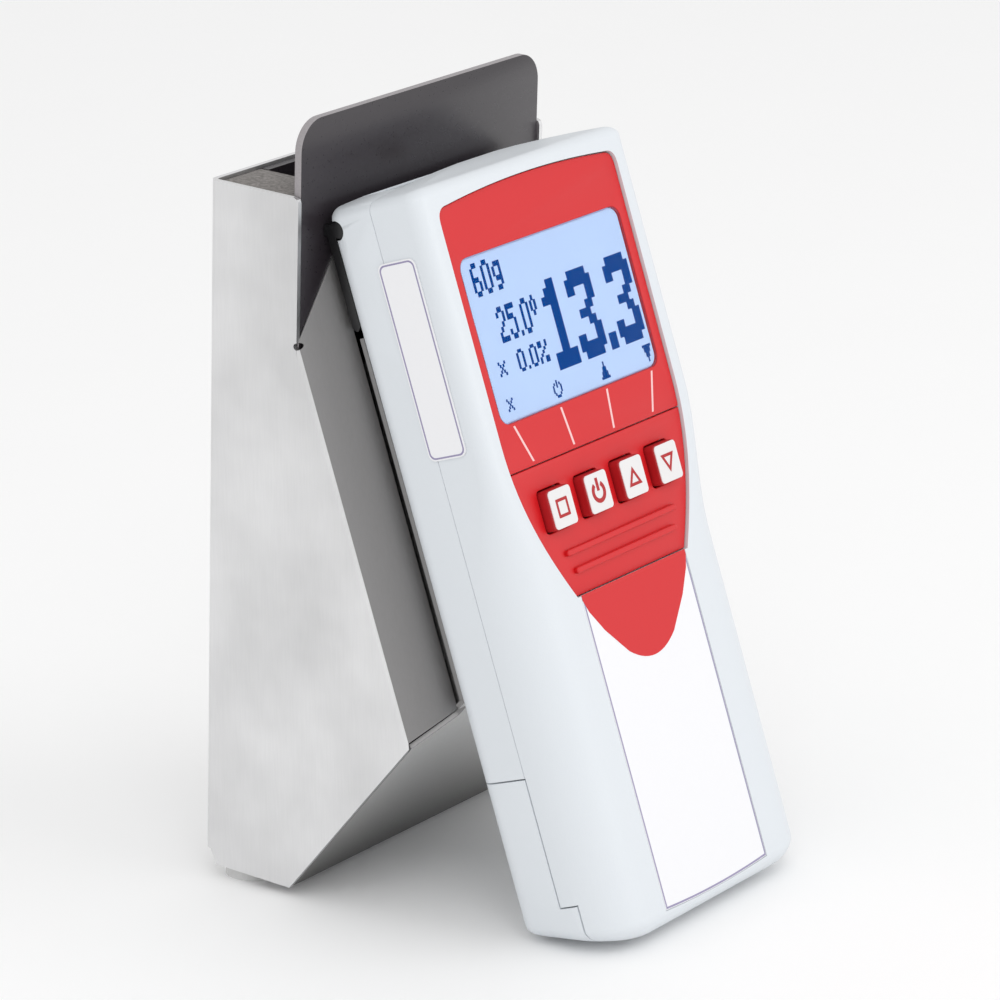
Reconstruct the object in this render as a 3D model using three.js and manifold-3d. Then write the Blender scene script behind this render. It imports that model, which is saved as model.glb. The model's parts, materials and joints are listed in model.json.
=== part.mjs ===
// Grain moisture meter: an open-topped sheet-steel measuring chamber with a
// handheld display unit leaning against its sloping front.
// Millimetres. X is across the meter, -Y is the side with the display, +Z is up.
import * as THREE from "three";
import { mergeVertices } from "three/addons/utils/BufferGeometryUtils.js";
import Module from "manifold-3d";

// ---- driving dimensions ----------------------------------------------------
const LEAN = THREE.MathUtils.degToRad(20.7); // display unit, back from the chamber's upright
const STANCE = THREE.MathUtils.degToRad(3); // whole meter pitched forward onto the unit's heel
const GAP = 0.3; // clearance between separate pieces that meet

// chamber
const SHEET = 1;
const CHAMBER_W = 77.6;
const CHAMBER_DEPTH = 21.2; // rear wall's outer face behind the front lip
const CHAMBER_H = 138.5;
const SCOOP_ANGLE = THREE.MathUtils.degToRad(52); // sloping plate under the front, from level
const GUSSET_OFFSET = 38.8; // chamber's slanted front edge, along the unit's thickness axis
const GUSSET_REACH = 10.8; // how far each gusset turns in from the side
const GUSSET_RISE = 5.5; // and how far it comes forward meanwhile
const BOARD_W = 75;
const BOARD_T = 1.6;
const BOARD_TOP = 152.7;
const BOARD_CORNER = 6;
const SPACER_W = 12.5; // side spacers behind the measuring board
const FOOT_R = 6;
const FOOT_X = 31.5;
const FOOT_Y = 14;

// display unit, in its own frame: -Y front, +Z towards its top, z = 0 near its bottom
const UNIT_W = 67;
const UNIT_T = 23;
const UNIT_L = 148.8;
const UNIT_OFFSET = 60.3; // mid-thickness plane in front of the chamber's base line
const UNIT_DROP = 21.3; // bottom end below that base line, along the unit
const WALL = 2;
const END_BULGE = 1.4; // both ends bow out this much at the middle
const CORNER = 6; // corners of the front outline
const BACK_SHOULDER = 4;
const SHOULDER_TOP = 3.2; // front shoulder beside the display
const SHOULDER_GRIP = 10.5; // and beside the grip
const WAIST = [66, 96]; // the shoulder changes between these heights
const GROOVE_Z = 143.1;
const GROOVE_R = 1.9;
const GROOVE_SUNK = 2.2; // its axis, in from the unit's back
const BOTTOM = -1.2; // the bottom end's lowest point

// front face
const FACE_HALF = 28.3; // red face
const FACE_TOP = 142.6;
const FACE_SIDE_END = 97.3; // straight sides end, the curve to the grip starts
const FACE_SEAM = 91.3; // display bezel above, keypad below
const FACE_BOTTOM = 65.3;
const FACE_BOTTOM_HALF = 18.1;
const FACE_SUNK = 0.6;
const FACE_T = 1.35;
const WINDOW_W = 51.6;
const WINDOW_H = 32;
const WINDOW_Z = 116.3;
const KEY_W = 7.3;
const KEY_H = 7.8;
const KEY_PITCH = 11.67;
const KEY_Z = 82.4;
const KEY_PROUD = 1.5;
const KEY_TRAVEL = 0.7;
const KEY_NAMES = ["menu", "power", "up", "down"];
const LABEL_HALF = 17.2;
const LABEL_Z = [2.6, 65];
const SEAL_Y = [-7.4, 1.6];
const SEAL_Z = [97.3, 135.3];

// battery bay
const COVER_TOP = 35.1;
const LIP_TOP = 9.7; // the cover's lower end reaches further forward below this
const LIP_Y = -3.7;
const CELL_R = 7.25;
const CELL_L = 49.5;
const CELL_PITCH = 14.8;
const CELL_Y = 1.6;
const CELL_Z = 8;

// ---- colours and finishes --------------------------------------------------
const finish = (color, roughness, metalness = 0) =>
  new THREE.MeshStandardMaterial({ color, roughness, metalness });
const STEEL = finish(0xb9bab9, 0.4, 1);
const SCREW_STEEL = finish(0x9a9a98, 0.35, 1);
const BOARD_BLACK = finish(0x2a2829, 0.35);
const SPACER_GREY = finish(0x8d8783, 0.8);
const CLIP_BLACK = finish(0x0c0c0e, 0.4);
const RUBBER_CLEAR = finish(0xe4e4e2, 0.3);
const SHELL_WHITE = finish(0xe9ebee, 0.45);
const FACE_RED = finish(0xd8232b, 0.4);
const KEY_RED = finish(0xc81a22, 0.5);
const WINDOW_CLEAR = finish(0xc9dcf5, 0.1);
const LCD_BLUE = finish(0xa9c4ea, 0.2);
const CIRCUIT_GREEN = finish(0x1f5b34, 0.5);
const PART_BLACK = finish(0x18181a, 0.5);
const LABEL_WHITE = finish(0xf6f6f8, 0.4);
const TRAY_GREY = finish(0x55585c, 0.6);
const CELL_WRAP = finish(0x2b4f8c, 0.35);
const CONTACT_STEEL = finish(0xc6c3b4, 0.3, 1);

// ---- solids ----------------------------------------------------------------
const wasm = await Module();
wasm.setup();
const { Manifold } = wasm;

function solid(geometry) {
  const bare = new THREE.BufferGeometry().setAttribute(
    "position",
    geometry.getAttribute("position"),
  );
  if (geometry.index) bare.setIndex(geometry.index);
  const merged = mergeVertices(bare, 1e-4);
  return new Manifold(
    new wasm.Mesh({
      numProp: 3,
      vertProperties: merged.getAttribute("position").array,
      triVerts: new Uint32Array(merged.index.array),
    }),
  );
}

function named(name, body, material) {
  const raw = body.getMesh();
  const geometry = new THREE.BufferGeometry();
  geometry.setAttribute(
    "position",
    new THREE.BufferAttribute(new Float32Array(raw.vertProperties), 3),
  );
  geometry.setIndex(new THREE.BufferAttribute(new Uint32Array(raw.triVerts), 1));
  geometry.computeVertexNormals();
  const mesh = new THREE.Mesh(geometry, material);
  mesh.name = name;
  return mesh;
}

const union = (...bodies) => Manifold.union(bodies);
const cut = (body, ...tools) => body.subtract(union(...tools));

function box([x0, x1], [y0, y1], [z0, z1]) {
  const geometry = new THREE.BoxGeometry(x1 - x0, y1 - y0, z1 - z0);
  geometry.translate((x0 + x1) / 2, (y0 + y1) / 2, (z0 + z1) / 2);
  return solid(geometry);
}

// An outline drawn in two axes and pushed along the third.
function prism(shape, depth, matrix, curveSegments = 8) {
  const geometry = new THREE.ExtrudeGeometry(shape, {
    depth,
    bevelEnabled: false,
    curveSegments,
  });
  return solid(geometry.applyMatrix4(matrix));
}

const X = new THREE.Vector3(1, 0, 0);
const Y = new THREE.Vector3(0, 1, 0);
const Z = new THREE.Vector3(0, 0, 1);
const alongX = (shape, [x0, x1], segments) =>
  prism(shape, x1 - x0, new THREE.Matrix4().makeBasis(Y, Z, X).setPosition(x0, 0, 0), segments);
const alongY = (shape, [y0, y1], segments) =>
  prism(
    shape,
    y1 - y0,
    new THREE.Matrix4().makeBasis(X, Z, Y.clone().negate()).setPosition(0, y1, 0),
    segments,
  );
const alongZ = (shape, [z0, z1], segments) =>
  prism(shape, z1 - z0, new THREE.Matrix4().makeTranslation(0, 0, z0), segments);

const polygon = (points) => new THREE.Shape(points.map(([u, v]) => new THREE.Vector2(u, v)));

function roundedRect([u0, u1], [v0, v1], r) {
  const shape = new THREE.Shape();
  shape.absarc(u0 + r, v0 + r, r, Math.PI, 1.5 * Math.PI);
  shape.absarc(u1 - r, v0 + r, r, 1.5 * Math.PI, 2 * Math.PI);
  shape.absarc(u1 - r, v1 - r, r, 0, 0.5 * Math.PI);
  shape.absarc(u0 + r, v1 - r, r, 0.5 * Math.PI, Math.PI);
  return shape;
}

// Round bar from point a to point b.
function rod(a, b, radius, segments = 20) {
  const from = new THREE.Vector3(...a);
  const to = new THREE.Vector3(...b);
  const geometry = new THREE.CylinderGeometry(radius, radius, from.distanceTo(to), segments);
  const turn = new THREE.Quaternion().setFromUnitVectors(Y, to.clone().sub(from).normalize());
  geometry.applyQuaternion(turn);
  geometry.translate(...from.add(to).multiplyScalar(0.5).toArray());
  return solid(geometry);
}

// ---- chamber: places along the lean ----------------------------------------
// A point given by how far it is in front of the base line along the unit's
// thickness (n) and how far up along the unit (t), as [y, z] in the chamber's frame.
const leaning = (n, t) => [
  -n * Math.cos(LEAN) + t * Math.sin(LEAN),
  n * Math.sin(LEAN) + t * Math.cos(LEAN),
];
const scoopAt = (s) => [-s * Math.cos(SCOOP_ANGLE), s * Math.sin(SCOOP_ANGLE)];
const scoopLengthTo = (n) => n / Math.cos(SCOOP_ANGLE - LEAN);

const HALF = CHAMBER_W / 2;
const UNIT_BACK = UNIT_OFFSET - UNIT_T / 2; // the unit's back face
const MOUNT_T = 1.2;
const MOUNT_HALF = 30.8;
const MOUNT_TOP = 101;
const GUSSET_END = GUSSET_OFFSET + GUSSET_RISE;

function chamberShell() {
  const inner = HALF - SHEET;
  const plan = roundedRect([-HALF, HALF], [-40, CHAMBER_DEPTH], 2);
  const hollow = roundedRect([-inner, inner], [-42, CHAMBER_DEPTH - SHEET], 1);
  const corner = leaning(GUSSET_OFFSET, GUSSET_OFFSET / Math.tan(LEAN));
  const toe = scoopAt(scoopLengthTo(GUSSET_OFFSET));
  const side = new THREE.Shape();
  side.moveTo(0, 0);
  side.lineTo(CHAMBER_DEPTH - 3, 0);
  side.quadraticCurveTo(CHAMBER_DEPTH, 0, CHAMBER_DEPTH, 3);
  side.lineTo(CHAMBER_DEPTH, CHAMBER_H);
  side.lineTo(1, CHAMBER_H);
  side.quadraticCurveTo(0, CHAMBER_H, 0, CHAMBER_H - 1);
  side.lineTo(...corner);
  side.lineTo(...toe);
  side.closePath();
  const wrap = cut(alongZ(plan, [0, CHAMBER_H]), alongZ(hollow, [-1, CHAMBER_H + 1]));
  const folded = union(wrap.intersect(alongX(side, [-HALF, HALF])), gusset(-1), gusset(1));
  // Small round relief where each gusset's fold starts.
  const reliefs = [-1, 1].map((sideways) =>
    rod([sideways * (HALF - 6), ...corner], [sideways * (HALF + 2), ...corner], 0.5, 12),
  );
  return cut(folded, ...reliefs);
}

// Turned-in flange that runs down the slanted front edge of one side.
function gusset(sideways) {
  const up = new THREE.Vector3(0, Math.sin(LEAN), Math.cos(LEAN));
  const forward = new THREE.Vector3(0, -Math.cos(LEAN), Math.sin(LEAN));
  const inward = new THREE.Vector3(-sideways * GUSSET_REACH, 0, 0)
    .addScaledVector(forward, GUSSET_RISE)
    .normalize();
  const thickness = new THREE.Vector3().crossVectors(inward, up);
  const width = Math.hypot(GUSSET_REACH, GUSSET_RISE);
  const backwards = thickness.y > 0 ? 0 : -SHEET;
  const outline = polygon([[0.02, 0], [width, 0], [width, 140], [0.02, 140]]);
  const [y, z] = leaning(GUSSET_OFFSET, 0);
  const strip = prism(
    outline,
    SHEET,
    new THREE.Matrix4()
      .makeBasis(inward, up, thickness)
      .setPosition(
        new THREE.Vector3(sideways * HALF, y, z).addScaledVector(thickness, backwards),
      ),
  );
  // Trimmed level with the front lip above, and along the sloping plate below.
  const foot = scoopAt(scoopLengthTo(GUSSET_OFFSET) - 12);
  const end = scoopAt(scoopLengthTo(GUSSET_OFFSET) + 12);
  const lift = (SHEET + 0.15) / Math.cos(SCOOP_ANGLE);
  const below = polygon([
    [foot[0], -20],
    [foot[0], foot[1] + lift],
    [end[0], end[1] + lift],
    [end[0] - 20, end[1] + lift],
    [end[0] - 20, -20],
  ]);
  return cut(strip, box([-50, 50], [0, 60], [0, 200]), alongX(below, [-50, 50]));
}

// One bent sheet: the sloping plate that closes the chamber's lower front, and
// the plate above it that the display unit is screwed to, with stiffening returns.
function frontSheet() {
  const face = UNIT_BACK - GAP;
  const back = face - MOUNT_T;
  const bend = scoopLengthTo(face);
  const turn = SCOOP_ANGLE - LEAN;
  const innerBend = (back + SHEET * Math.sin(turn)) / Math.cos(turn);
  const inside = (s) => {
    const [y, z] = scoopAt(s);
    return [y + SHEET * Math.sin(SCOOP_ANGLE), z + SHEET * Math.cos(SCOOP_ANGLE)];
  };
  const profile = polygon([
    [0, 0],
    scoopAt(bend),
    leaning(face, MOUNT_TOP),
    leaning(back, MOUNT_TOP),
    inside(innerBend),
    inside(1.2),
  ]);
  const half = HALF - SHEET - GAP;
  const returns = [-1, 1].map((sideways) => {
    const x = sideways * (MOUNT_HALF - 4);
    const deep = face - 6.5;
    const web = polygon([
      leaning(face - 0.5, MOUNT_TOP - 1),
      leaning(deep, MOUNT_TOP - 7),
      leaning(deep, scoopHeightAt(deep) + 1.5),
      leaning(face - 0.5, scoopHeightAt(face - 0.5) + 2.5),
    ]);
    return alongX(web, [x - SHEET / 2, x + SHEET / 2]);
  });
  const body = cut(alongX(profile, [-half, half]), sheetTrim(-1, bend), sheetTrim(1, bend));
  const through = (t, r) => rod([0, ...leaning(face - 5, t)], [0, ...leaning(face + 5, t)], r);
  return cut(union(body, ...returns), ...MOUNT_SCREWS.map((t) => through(t, 1.9)), through(LEAD_T, 4.5));
}

// What is cut away beside the front sheet: along the gusset's lower end, then
// down to the width of the mounting plate.
function sheetTrim(sideways, bend) {
  const half = HALF - SHEET - GAP;
  const toe = scoopLengthTo(GUSSET_OFFSET) - 0.5;
  const neck = scoopLengthTo(GUSSET_END) - 0.5;
  const outline = polygon(
    [
      [HALF + 5, toe - 4],
      [half, toe],
      [HALF - GUSSET_REACH, neck],
      [HALF - GUSSET_REACH, bend - 1.2],
      [MOUNT_HALF, bend - 1.2],
      [MOUNT_HALF, 200],
      [HALF + 5, 200],
    ].map(([x, s]) => [sideways * x, s]),
  );
  const slope = new THREE.Vector3(0, ...scoopAt(1));
  const out = new THREE.Vector3().crossVectors(X, slope);
  const place = new THREE.Matrix4().makeBasis(X, slope, out);
  return prism(outline, 110, place.setPosition(out.clone().multiplyScalar(-100)));
}
const scoopHeightAt = (n) => n * Math.tan(SCOOP_ANGLE - LEAN); // t where the slope meets n
const MOUNT_SCREWS = [46, 92]; // heights up the unit
const LEAD_T = 68;

function floorPlate() {
  const half = HALF - SHEET - GAP;
  return box([-half, half], [1.6, CHAMBER_DEPTH - SHEET - 1.2], [0.2, 0.2 + SHEET]);
}

const BOARD_FRONT = 0.4; // the measuring board's face, behind the front lip
const BOARD_FOOT = 2;
function measuringBoard() {
  const half = BOARD_W / 2;
  const r = BOARD_CORNER;
  const outline = new THREE.Shape();
  outline.moveTo(-half, BOARD_FOOT);
  outline.lineTo(half, BOARD_FOOT);
  outline.absarc(half - r, BOARD_TOP - r, r, 0, Math.PI / 2);
  outline.absarc(-half + r, BOARD_TOP - r, r, Math.PI / 2, Math.PI);
  const plate = alongY(outline, [BOARD_FRONT, BOARD_FRONT + BOARD_T], 10);
  const y = [BOARD_FRONT - 1, BOARD_FRONT + BOARD_T + 1];
  const holes = BOARD_SCREWS.map(([x, z]) => rod([x, y[0], z], [x, y[1], z], 1.8));
  return cut(plate, ...holes, rod([0, y[0], PROBE_Z], [0, y[1], PROBE_Z], 2.8));
}
const BOARD_SCREWS = [-1, 1].flatMap((s) => [24, 92].map((z) => [s * 31.3, z]));
const PROBE_Z = 30;

const REAR_BOARD_Y = [CHAMBER_DEPTH - SHEET - GAP - BOARD_T, CHAMBER_DEPTH - SHEET - GAP];
function rearBoard() {
  const half = HALF - SHEET - GAP - SPACER_W - GAP;
  return box([-half, half], REAR_BOARD_Y, [BOARD_FOOT, CHAMBER_H - 0.6]);
}

function spacer(sideways) {
  const out = HALF - SHEET - GAP;
  const xs = sideways < 0 ? [-out, -out + SPACER_W] : [out - SPACER_W, out];
  const block = box(
    xs,
    [BOARD_FRONT + BOARD_T + GAP, CHAMBER_DEPTH - SHEET - GAP],
    [BOARD_FOOT, CHAMBER_H - 0.5],
  );
  const holes = BOARD_SCREWS.filter(([x]) => x * sideways > 0).map(([x, z]) =>
    rod([x, 0, z], [x, 10, z], 1.5),
  );
  return cut(block, ...holes);
}

function boardScrew([x, z]) {
  const face = BOARD_FRONT - GAP;
  return union(
    rod([x, face - 1.6, z], [x, face, z], 2.7, 16),
    rod([x, face - 0.1, z], [x, face + 8, z], 1.2, 12),
  );
}

function probe() {
  const face = BOARD_FRONT + BOARD_T;
  return union(
    rod([0, BOARD_FRONT - 4, PROBE_Z], [0, face + 0.4, PROBE_Z], 2.4, 20),
    rod([0, BOARD_FRONT - 4, PROBE_Z], [0, BOARD_FRONT - 0.4, PROBE_Z], 4, 20),
  );
}

const AMP_Y = [-9.6, -8];
const AMP_Z = [42, 80];
function amplifierBoard() {
  return box([-21, 21], AMP_Y, AMP_Z);
}

function shieldCan() {
  const can = box([-14, 14], [AMP_Y[0] - 4.3, AMP_Y[0] - 0.2], [46, 64]);
  return cut(can, box([-13.6, 13.6], [AMP_Y[0] - 3.9, AMP_Y[0] + 1], [46.4, 63.6]));
}

function standoff(x, z) {
  return rod([x, AMP_Y[1] + GAP, z], [x, BOARD_FRONT - GAP, z], 2.5, 12);
}

function sensorLead() {
  const from = new THREE.Vector3(0, AMP_Y[0] - 0.6, 74);
  const [y, z] = leaning(UNIT_BACK + 1.4, LEAD_T);
  const to = new THREE.Vector3(0, y, z);
  const [my, mz] = leaning(UNIT_BACK - 7, LEAD_T);
  const path = new THREE.CubicBezierCurve3(
    from,
    new THREE.Vector3(0, from.y - 5, 74),
    new THREE.Vector3(0, my + 3, mz - 1),
    to,
  );
  const ring = new THREE.Shape().absarc(0, 0, 1.9, 0, 2 * Math.PI);
  return solid(
    new THREE.ExtrudeGeometry(ring, { steps: 14, extrudePath: path, curveSegments: 10 }),
  );
}

const CLIP_T = 2;
const BEAD_T = GROOVE_Z - UNIT_DROP;
const NECK = 1.2; // half the thickness of the web that carries the bead
const CLIP_SPAN = [102.4, BEAD_T + NECK];
const BEAD_HALF = 32.5;
// Black clip: a round bead snapped into the groove across the unit's back, and a
// leg that lies down the back below it.
function hookClip() {
  const back = UNIT_BACK - GAP;
  const leg = polygon([
    leaning(back, CLIP_SPAN[0] + 0.8),
    leaning(back - 0.8, CLIP_SPAN[0]),
    leaning(back - CLIP_T + 0.8, CLIP_SPAN[0]),
    leaning(back - CLIP_T, CLIP_SPAN[0] + 0.8),
    leaning(back - CLIP_T, CLIP_SPAN[1]),
    leaning(back, CLIP_SPAN[1]),
  ]);
  const xs = [-MOUNT_HALF, MOUNT_HALF];
  const [y, z] = leaning(UNIT_BACK + GROOVE_SUNK, BEAD_T);
  const bead = rod([-BEAD_HALF, y, z], [BEAD_HALF, y, z], GROOVE_R - GAP, 20);
  const neck = polygon([
    leaning(UNIT_BACK + GROOVE_SUNK, BEAD_T - NECK),
    leaning(back - CLIP_T, BEAD_T - NECK),
    leaning(back - CLIP_T, BEAD_T + NECK),
    leaning(UNIT_BACK + GROOVE_SUNK, BEAD_T + NECK),
  ]);
  const [heelY, heelZ] = leaning(back - 1, BEAD_T);
  const heel = box(xs, [heelY, BOARD_FRONT - GAP], [heelZ - 1.1, heelZ + 1.1]);
  return union(alongX(leg, xs), alongX(neck, xs), bead, heel);
}

function mountScrew(t) {
  const back = UNIT_BACK - GAP - MOUNT_T;
  const at = (n) => [0, ...leaning(n, t)];
  const head = rod(at(back - 2.4), at(back - 0.2), 2.9, 16);
  return union(head, rod(at(back - 0.3), at(UNIT_BACK + 5), 1.4, 12));
}

// ---- display unit ----------------------------------------------------------
const smooth = THREE.MathUtils.smoothstep;
const frontShoulder = (z) =>
  SHOULDER_GRIP + (SHOULDER_TOP - SHOULDER_GRIP) * smooth(z, ...WAIST);

// Outline of the unit across its length, drawn in to leave a wall.
function section(z, inset) {
  const half = UNIT_W / 2 - inset;
  const deep = UNIT_T / 2 - inset;
  const front = Math.max(frontShoulder(z) - inset, 0.8);
  const back = Math.max(BACK_SHOULDER - inset, 0.8);
  const corners = [
    [half - back, deep - back, back, 0],
    [back - half, deep - back, back, 1],
    [front - half, front - deep, front, 2],
    [half - front, front - deep, front, 3],
  ];
  const steps = 6;
  return corners.flatMap(([x, y, r, quarter]) =>
    Array.from({ length: steps + 1 }, (_, i) => {
      const angle = ((quarter + i / steps) * Math.PI) / 2;
      return [x + r * Math.cos(angle), y + r * Math.sin(angle)];
    }),
  );
}

function loft(inset) {
  const waist = Array.from({ length: 9 }, (_, i) => WAIST[0] + (i / 8) * (WAIST[1] - WAIST[0]));
  const heights = [BOTTOM - 2, ...waist, UNIT_L + 2];
  const rows = heights.map((z) => section(z, inset).map(([x, y]) => [x, y, z]));
  const count = rows[0].length;
  const positions = rows.flat(2);
  const index = [];
  for (let row = 0; row + 1 < rows.length; row++)
    for (let i = 0; i < count; i++) {
      const a = row * count + i;
      const b = row * count + ((i + 1) % count);
      index.push(a, b, b + count, a, b + count, a + count);
    }
  for (let i = 1; i + 1 < count; i++) {
    const top = (rows.length - 1) * count;
    index.push(0, i + 1, i, top, top + i, top + i + 1);
  }
  const geometry = new THREE.BufferGeometry();
  geometry.setAttribute("position", new THREE.Float32BufferAttribute(positions, 3));
  geometry.setIndex(index);
  return solid(geometry);
}

function frontOutline(inset) {
  const half = UNIT_W / 2 - inset;
  const r = CORNER - inset;
  const low = BOTTOM + inset + END_BULGE;
  const high = UNIT_L - inset - END_BULGE;
  const shape = new THREE.Shape();
  shape.moveTo(-half, low + r);
  shape.quadraticCurveTo(-half, low, -half + r, low);
  shape.quadraticCurveTo(0, low - 2 * END_BULGE, half - r, low);
  shape.quadraticCurveTo(half, low, half, low + r);
  shape.lineTo(half, high - r);
  shape.quadraticCurveTo(half, high, half - r, high);
  shape.quadraticCurveTo(0, high + 2 * END_BULGE, -half + r, high);
  shape.quadraticCurveTo(-half, high, -half, high - r);
  return shape;
}

function sideOutline(inset) {
  const deep = UNIT_T / 2 - inset;
  const shape = new THREE.Shape();
  shape.moveTo(deep, 4.9 + inset);
  shape.quadraticCurveTo(deep, 3.7 + inset, deep - 1.4, 3.3 + inset);
  shape.quadraticCurveTo(1.5, BOTTOM + 1.5 + inset, -deep + 3.4, BOTTOM + inset);
  shape.quadraticCurveTo(-deep, BOTTOM + inset, -deep, BOTTOM + 3.4 + inset);
  shape.lineTo(-deep, UNIT_L - 4 - inset);
  shape.quadraticCurveTo(-deep, UNIT_L - inset, -deep + 4, UNIT_L - inset);
  shape.lineTo(deep - 2, UNIT_L - inset);
  shape.quadraticCurveTo(deep, UNIT_L - inset, deep, UNIT_L - 2 - inset);
  shape.closePath();
  return shape;
}

function unitForm(inset) {
  return Manifold.intersection([
    loft(inset),
    alongY(frontOutline(inset), [-20, 20], 14),
    alongX(sideOutline(inset), [-60, 60], 8),
  ]);
}

const FRONT = -UNIT_T / 2;
const BACK = UNIT_T / 2;
const WINDOW = [
  [-WINDOW_W / 2, WINDOW_W / 2],
  [WINDOW_Z - WINDOW_H / 2, WINDOW_Z + WINDOW_H / 2],
];
const grow = ([a, b], by) => [a - by, b + by];
const keyX = (i) => (i - 1.5) * KEY_PITCH;
const keyOutline = (i, by) =>
  roundedRect(
    grow([keyX(i) - KEY_W / 2, keyX(i) + KEY_W / 2], by),
    grow([KEY_Z - KEY_H / 2, KEY_Z + KEY_H / 2], by),
    0.7,
  );

// The red face: arched top, straight sides, then a curve in to the grip.
function faceOutline(by) {
  const half = FACE_HALF + by;
  const top = FACE_TOP + by;
  const low = FACE_BOTTOM - by;
  const lowHalf = FACE_BOTTOM_HALF + by;
  const r = 3;
  const shape = new THREE.Shape();
  shape.moveTo(-lowHalf, low);
  shape.lineTo(lowHalf, low);
  shape.bezierCurveTo(24 + by, 75.3, half, 85.3, half, FACE_SIDE_END);
  shape.lineTo(half, top - r);
  shape.quadraticCurveTo(half, top, half - r, top);
  shape.quadraticCurveTo(0, top + 2.6, r - half, top);
  shape.quadraticCurveTo(-half, top, -half, top - r);
  shape.lineTo(-half, FACE_SIDE_END);
  shape.bezierCurveTo(-half, 85.3, -24 - by, 75.3, -lowHalf, low);
  return shape;
}

const POCKET_FLOOR = FRONT + FACE_SUNK + FACE_T + 0.15;
const PANEL_X = [-24, 24];
const PANEL_Y = [-1, 8.6];
const endPocket = () => box(PANEL_X, PANEL_Y, [UNIT_L - 3.2, UNIT_L + 5]);
const coverZone = (by) =>
  union(
    box([-60, 60], [0.15 - by, 60], [-10, COVER_TOP + by]),
    box([-60, 60], [LIP_Y - by, 60], [-10, LIP_TOP + by]),
  );

function frontShell() {
  const skin = unitForm(0).intersect(box([-60, 60], [-60, -0.15], [-10, 200]));
  const hollow = unitForm(WALL).intersect(box([-60, 60], [FRONT + 3, 60], [-10, 200]));
  const pockets = [
    alongY(faceOutline(0.2), [FRONT - 1, POCKET_FLOOR], 10),
    alongY(roundedRect(...WINDOW.map((w) => grow(w, 1.4)), 1), [FRONT - 1, FRONT + 4]),
    ...KEY_NAMES.map((_, i) => alongY(keyOutline(i, 0.35), [FRONT - 1, FRONT + 4], 4)),
    alongY(labelOutline(0.2), [FRONT - 1, FRONT + 0.6], 10),
    endPocket(),
    coverZone(GAP),
    ...SHELL_SCREWS.map(([x, z]) => rod([x, -6, z], [x, 0, z], 1.5, 12)),
  ];
  const bosses = SHELL_SCREWS.map(([x, z]) =>
    rod([x, FRONT + 2, z], [x, -0.7, z], 3.2, 16).intersect(unitForm(1)),
  );
  return cut(union(cut(skin, hollow), ...bosses), ...pockets);
}

const SHELL_SCREWS = [-1, 1].flatMap((s) => [68, 138].map((z) => [s * 26, z]));
function rearShell() {
  const skin = unitForm(0).intersect(box([-60, 60], [0.15, 60], [COVER_TOP + GAP, 200]));
  const hollow = unitForm(WALL).intersect(box([-60, 60], [-60, 60], [-10, 138]));
  const grooveY = BACK - GROOVE_SUNK;
  const groove = union(
    rod([-60, grooveY, GROOVE_Z], [60, grooveY, GROOVE_Z], GROOVE_R, 24),
    box([-60, 60], [grooveY, BACK + 1], [GROOVE_Z - GROOVE_R, GROOVE_Z + GROOVE_R]),
  );
  const bosses = SHELL_SCREWS.map(([x, z]) => rod([x, 0.6, z], [x, BACK - 1, z], 3.4, 16));
  const wells = SHELL_SCREWS.flatMap(([x, z]) => [
    rod([x, -1, z], [x, BACK + 1, z], 1.6, 12),
    rod([x, BACK - 2.6, z], [x, BACK + 1, z], 2.8, 16),
  ]);
  const seats = MOUNT_SCREWS.map((t) => t + UNIT_DROP);
  const seatBosses = seats.map((z) => rod([0, BACK - 6, z], [0, BACK - 1, z], 4, 16));
  const seatHoles = seats.map((z) => rod([0, BACK - 5.6, z], [0, BACK + 1, z], 1.8, 12));
  const lead = rod([0, BACK - 6, LEAD_T + UNIT_DROP], [0, BACK + 1, LEAD_T + UNIT_DROP], 4.5, 20);
  const socket = box([-4.6, 4.6], [1.2, 5.4], [130, UNIT_L]);
  return cut(
    union(cut(skin, hollow), ...bosses, ...seatBosses),
    groove,
    ...wells,
    ...seatHoles,
    lead,
    socket,
    endPocket(),
  );
}

function batteryCover() {
  const zone = coverZone(0).intersect(box([-60, 60], [-60, 60], [-10, COVER_TOP]));
  return cut(unitForm(0).intersect(zone), unitForm(WALL));
}

function labelOutline(by) {
  const half = LABEL_HALF + by;
  const shape = new THREE.Shape();
  shape.moveTo(-half, LABEL_Z[0] + 0.6 - by);
  shape.quadraticCurveTo(0, LABEL_Z[0] - 0.6 - by, half, LABEL_Z[0] + 0.6 - by);
  shape.lineTo(half, LABEL_Z[1] + by);
  shape.lineTo(-half, LABEL_Z[1] + by);
  shape.closePath();
  return shape;
}

const FACE_Y = [FRONT + FACE_SUNK, FRONT + FACE_SUNK + FACE_T];
function bezel() {
  const plate = alongY(faceOutline(0), FACE_Y, 10);
  const window = alongY(roundedRect(...WINDOW, 2.5), grow(FACE_Y, 1), 6);
  return cut(plate, window, box([-60, 60], [-60, 60], [-10, FACE_SEAM + 0.1]));
}

function keypadMat() {
  const plate = alongY(faceOutline(0), FACE_Y, 10);
  const holes = KEY_NAMES.map((_, i) => alongY(keyOutline(i, 0.3), grow(FACE_Y, 1), 4));
  const ribs = [
    [73.6, 18],
    [69.9, 16.6],
  ].map(([z, half]) => box([-half, half], [FACE_Y[0] - 0.9, FACE_Y[0] + 0.5], [z - 0.6, z + 0.6]));
  return cut(union(plate, ...ribs), ...holes, box([-60, 60], [-60, 60], [FACE_SEAM - 0.1, 200]));
}

const KEY_Y = [FRONT - KEY_PROUD, FRONT + 3.6];
const key = (i) => alongY(keyOutline(i, 0), KEY_Y, 4);

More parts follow.
